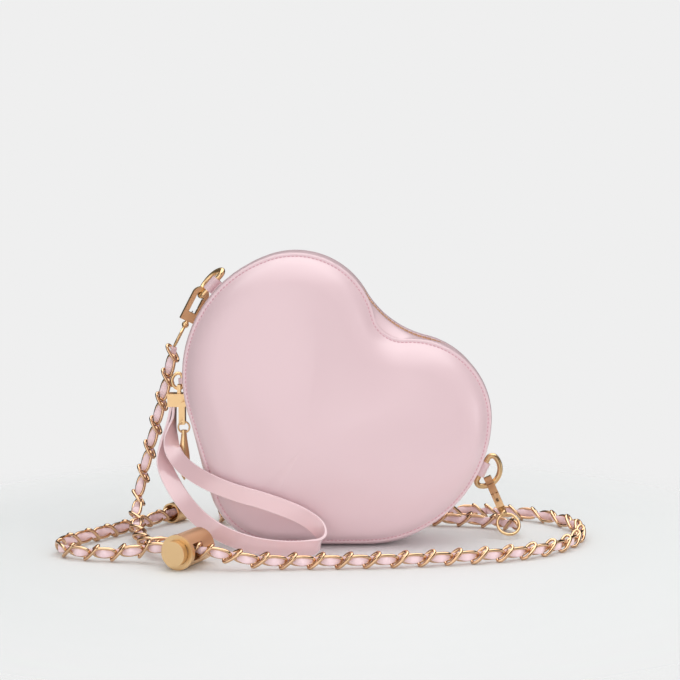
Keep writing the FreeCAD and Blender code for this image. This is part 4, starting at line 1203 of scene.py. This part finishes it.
@dataclass
class WristStrap:
    """A flat strap whose two ends the clamp holds, looped down in front of the purse."""

    foot: Triple = (-91.705, 12.0, 0.0)
    mouth: float = 80.98
    end_height: float = 87.68
    end_offset: float = 0.9
    width: float = 10 * MM
    thickness: float = 1.7 * MM
    steps: int = 6
    crease: float = math.radians(30)
    yield_start: Triple = (0.0, -50.7, 6.0)
    yield_end: Triple = (0.0, -55.9, 9.7)
    shares: Sequence[Tuple[Triple, Triple]] = (
        ((-0.040, -0.012, 0.841), (0.1, 1.0, 0.0)), ((-0.064, -0.074, 0.705), (0.3, 0.9, -0.1)),
        ((-0.045, -0.198, 0.574), (0.5, 0.7, 0.3)), ((0.040, -0.346, 0.445), (0.6, 0.45, 0.6)),
        ((0.145, -0.482, 0.334), (0.5, 0.3, 0.8)), ((0.274, -0.600, 0.235), (0.4, 0.15, 0.9)),
        ((0.429, -0.686, 0.156), (0.25, 0.05, 0.97)), ((0.608, -0.742, 0.101), (0.12, 0.0, 0.99)),
        ((0.794, -0.774, 0.074), (0.02, 0.0, 1.0)), ((0.967, -0.779, 0.069), (0.0, 0.0, 1.0)),
        ((1.086, -0.764, 0.087), (0.2, -0.25, 0.95)), ((1.138, -0.725, 0.143), (0.4, -0.6, 0.7)),
        ((1.096, -0.695, 0.220), (0.55, -0.1, 0.8)), ((0.992, -0.687, 0.292), (0.35, 0.0, 0.9)),
        ((0.856, -0.683, 0.351), (0.3, 0.15, 0.94)), ((0.701, -0.673, 0.403), (0.28, 0.1, 0.95)),
        ((0.540, -0.648, 0.445), (0.28, 0.05, 0.95)), ((0.392, -0.589, 0.487), (0.32, 0.1, 0.94)),
        ((0.245, -0.495, 0.539), (0.4, 0.2, 0.9)), ((0.114, -0.366, 0.603), (0.42, 0.3, 0.85)),
        ((0.035, -0.255, 0.675), (0.5, 0.5, 0.7)), ((0.005, -0.181, 0.737), (0.55, 0.75, 0.3)),
        ((0.002, -0.099, 0.804), (0.4, 0.9, 0.1)), ((0.007, -0.027, 0.890), (0.1, 1.0, 0.05)),
    )

    def stations(self) -> List[Tuple[Vector, Vector]]:
        """Lay the strap out from one end in the clamp to the other.

        Returns:
            Points of the centre line, each with the direction of the width.
        """
        foot, rear = Vector(self.foot), Vector((0, 1, 0))
        heights = (self.end_height, self.mouth)
        ends = [(foot + Vector((-self.end_offset, 0, height)), rear) for height in heights]
        middle = [
            (foot + Vector(spot) * self.mouth, Vector(lean).normalized())
            for spot, lean in self.shares
        ]
        tail = [(foot + Vector((self.end_offset, 0, height)), rear) for height in heights[::-1]]
        return [(spot * MM, lean) for spot, lean in ends + middle + tail]

    @staticmethod
    def between(values: Sequence[Vector], index: int, share: float) -> Vector:
        """Smooth value between two stations that passes through all of them.

        Args:
            values: the stations' values.
            index: the station before.
            share: how far to the next one, 0 to 1.

        Returns:
            The value there.
        """
        before = values[max(index - 1, 0)]
        first, second = values[index], values[index + 1]
        after = values[min(index + 2, len(values) - 1)]
        slope, end = (second - before) / 2, (after - first) / 2
        square, cube = share ** 2, share ** 3
        return (
            first * (2 * cube - 3 * square + 1) + slope * (cube - 2 * square + share)
            + second * (3 * square - 2 * cube) + end * (cube - square)
        )

    def build(self) -> bpy.types.Object:
        """Make the strap, its edges in a second material: edge paint, made pale enough to be a
        painted highlight along them too.

        Returns:
            The strap.
        """
        stations = self.stations()
        places = [spot for spot, _ in stations]
        leans = [lean for _, lean in stations]
        last = len(stations) - 1
        spots = [
            (index, step / self.steps) for index in range(last) for step in range(self.steps)
        ]
        spots.append((last - 1, 1.0))
        line = [self.between(places, index, share) for index, share in spots]
        rings = []
        half, thin = self.width / 2, self.thickness / 2
        for number, (index, share) in enumerate(spots):
            along = (line[min(number + 1, len(line) - 1)] - line[max(number - 1, 0)]).normalized()
            lean = self.between(leans, index, share)
            wide = (lean - along * along.dot(lean)).normalized()
            thick = along.cross(wide)
            middle = line[number]
            rings.append([
                middle + wide * (half * a) + thick * (thin * b) for a, b in STRAP_SECTION
            ])
        points, faces = tube(rings, False, 0)
        made = piece("wristlet_strap_leather", points, faces, STRAP_LEATHER)
        made.data.set_sharp_from_angle(angle=self.crease)
        # The edge faces take the pale edge paint, which is also a painted highlight along the
        # strap's edges.
        made.data.materials.append(EDGE_PAINT_AND_HIGHLIGHT.material())
        around = len(STRAP_SECTION)
        for number, polygon in enumerate(made.data.polygons):
            if number < (len(rings) - 1) * around and number % around in STRAP_EDGES:
                polygon.material_index = 1
        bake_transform(made)
        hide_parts("wristlet_strap")
        return made


# Pieces that the part already shapes


@dataclass
class Hardware:
    """CAD nodes that keep their shape and take a finish and softened edges."""

    nodes: Dict[str, bpy.types.Object]
    finishes: Sequence[Tuple[Finish, float, Tuple[str, ...]]] = field(default_factory=lambda: (
        (GOLD, 0.8, ("left_hook_body", "right_hook_body", "wristlet_clamp")),
        (GOLD, 0.35, ("lock_barrel", "lock_button", "chain_end_cap", "zip_slider", "zip_pull_tab")),
        (GOLD, 0.15, (
            "left_hook_gate", "right_hook_gate", "left_hook_rivet", "right_hook_rivet",
            "wristlet_rivet", "front_zip_teeth", "rear_zip_teeth", "front_top_stop",
            "rear_top_stop", "zip_bottom_stop",
        )),
        (GOLD, 0.0, (
            "left_dring", "right_dring", "wristlet_dring", "left_hook_eye", "right_hook_eye",
            "zip_pull_pin", "zip_pull_ring", "zip_pull_drop",
        )),
        (STEEL, 0.0, ("left_hook_spring", "right_hook_spring", "lock_spring")),
        (LEATHER, 0.4, ("left_ring_tab", "right_ring_tab", "wristlet_ring_tab")),
        (TAPE, 0.0, ("front_zip_tape", "rear_zip_tape")),
        (BOARD, 0.0, ("base_board",)),
    ))
    press_axis: Triple = (0.406737, 0.913545, 0.0)
    spring_seat: Triple = (-70.742, -58.332, 10.0)
    spring_keep: float = 0.32

    def dress(self) -> None:
        """Give every listed node its finish, and give the lock's spring a mesh of its own."""
        for finish, bevel, names in self.finishes:
            for name in names:
                shown = self.nodes[name]
                shown.data.materials.clear()
                shown.data.materials.append(finish.material())
                if bevel:
                    add_modifier(
                        shown, "BEVEL", width=bevel * MM, segments=3, limit_method="ANGLE",
                        angle_limit=math.radians(35), harden_normals=True,
                    )
        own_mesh(self.nodes["lock_spring"])


# Studio


@dataclass(frozen=True)
class Softbox:
    """A rectangular light that no glossy surface mirrors."""

    name: str
    place: Triple
    target: Triple
    sizes: Tuple[float, float]
    power: float

    def build(self) -> None:
        """Make the light and turn it to its target."""
        lamp = bpy.data.lights.new(self.name, "AREA")
        lamp.shape = "RECTANGLE"
        lamp.size, lamp.size_y = self.sizes
        lamp.energy = self.power
        made = bpy.data.objects.new(self.name, lamp)
        made.visible_glossy = False
        made.location = self.place
        aim = Vector(self.target) - Vector(self.place)
        made.rotation_euler = aim.to_track_quat("-Z", "Y").to_euler()
        bpy.context.scene.collection.objects.link(made)


@dataclass(frozen=True)
class Patch:
    """A bright patch of the surroundings that only glossy surfaces show."""

    direction: Triple
    start: float
    end: float
    strength: float

    def level(self, graph: Graph, heading: Socket) -> Socket:
        """Brightness of the patch.

        Args:
            graph: the world's nodes.
            heading: the direction that is looked in.

        Returns:
            The brightness.
        """
        values = {0: heading, 1: self.direction}
        near = graph.read("Value", "ShaderNodeVectorMath", {"operation": "DOT_PRODUCT"}, values)
        return near.smooth(self.start, self.end) * self.strength


SOFTBOXES = (
    Softbox("key_softbox", (-0.45, -0.75, 0.95), (0.0, 0.0, 0.07), (0.9, 0.7), 0.6),
    Softbox("top_softbox", (0.05, 0.05, 1.05), (0.0, 0.0, 0.0), (1.1, 0.7), 2.3),
    Softbox("right_fill", (0.95, -0.45, 0.45), (0.0, 0.0, 0.08), (0.5, 0.8), 1.6),
    Softbox("front_fill", (0.1, -1.3, 0.11), (0.0, 0.0, 0.06), (1.4, 0.2), 3.4),
)
CEILING = Patch((0.0, 0.0, 1.0), 0.62, 0.84, 2.6)
WINDOW = Patch((-0.45, -0.88, 0.12), 0.74, 0.93, 1.5)
SIDE_STRIP = Patch((0.96, -0.28, 0.0), 0.965, 0.99, 2.0)


@dataclass
class Studio:
    """Pale floor that fades into a pale background, soft lights and the camera."""

    background: Colour = linear(239, 239, 239)
    ambient: float = 0.66
    surround: float = 0.05
    floor_radius: float = 0.9
    floor_corners: int = 64
    camera_place: Triple = (0.011, -0.920, 0.200)
    camera_tilt: float = math.radians(85.2)
    sensor: float = 36.0
    focal_pixels: float = 1525
    picture_pixels: float = 680

    def build(self) -> None:
        """Make the studio."""
        self.world()
        self.floor()
        for softbox in SOFTBOXES:
            softbox.build()
        self.camera()

    def world(self) -> None:
        """Background for the camera, patches for glossy surfaces, an even glow for the rest."""
        world = bpy.data.worlds.new("studio")
        bpy.context.scene.world = world
        world.use_nodes = True
        graph = Graph(world.node_tree)
        heading = graph.read("Generated", "ShaderNodeTexCoord")
        level = CEILING.level(graph, heading) + WINDOW.level(graph, heading)
        level = level + SIDE_STRIP.level(graph, heading) + self.surround
        glossy = graph.read("Is Glossy Ray", "ShaderNodeLightPath")
        seen = graph.read("Is Camera Ray", "ShaderNodeLightPath")
        white = (1.0, 1.0, 1.0)
        even, mirrored = graph.glow(white, self.ambient), graph.glow(white, level)
        unseen = graph.mix_shaders(glossy, even, mirrored)
        shown = graph.mix_shaders(seen, unseen, graph.glow(self.background, 1.0))
        graph.surface(shown, "ShaderNodeOutputWorld")

    def floor(self) -> None:
        """A round floor whose edge fades away."""
        count = self.floor_corners
        right, back = Vector((1, 0, 0)), Vector((0, 1, 0))
        points = [Vector()] + circle(Vector(), right, back, self.floor_radius, count)
        faces = [(0, 1 + step, 1 + (step + 1) % count) for step in range(count)]
        made = piece("studio_floor", points, faces, FLOOR)

    def camera(self) -> None:
        """The photograph's view."""
        lens = bpy.data.cameras.new("photo_view")
        lens.lens = self.sensor * self.focal_pixels / self.picture_pixels
        lens.sensor_width = self.sensor
        made = bpy.data.objects.new("photo_view", lens)
        made.location = self.camera_place
        made.rotation_euler = (self.camera_tilt, 0.0, 0.0)
        bpy.context.scene.collection.objects.link(made)
        bpy.context.scene.camera = made
        bpy.context.scene.view_settings.view_transform = "Standard"


def main() -> None:
    """Load the frame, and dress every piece."""
    logging.basicConfig(level=logging.INFO, format="%(message)s")
    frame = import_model()
    Studio().build()
    for stretch in STRETCHES:
        stretch.build()
    for side in Side:
        PuffedPanel(side).build()
        Stitching(side).build()
        Lining(side).build()
        LOG.info("%s face dressed", side.label)
    Gusset().build()
    LOG.info("gusset and zip strips dressed")
    WristStrap().build()
    LOG.info("wristlet strap dressed")
    Hardware(frame["nodes"]).dress()
    LOG.info("metal, tabs, tapes and board finished")
    LOG.info("boxes written")


if __name__ == "__main__":
    main()
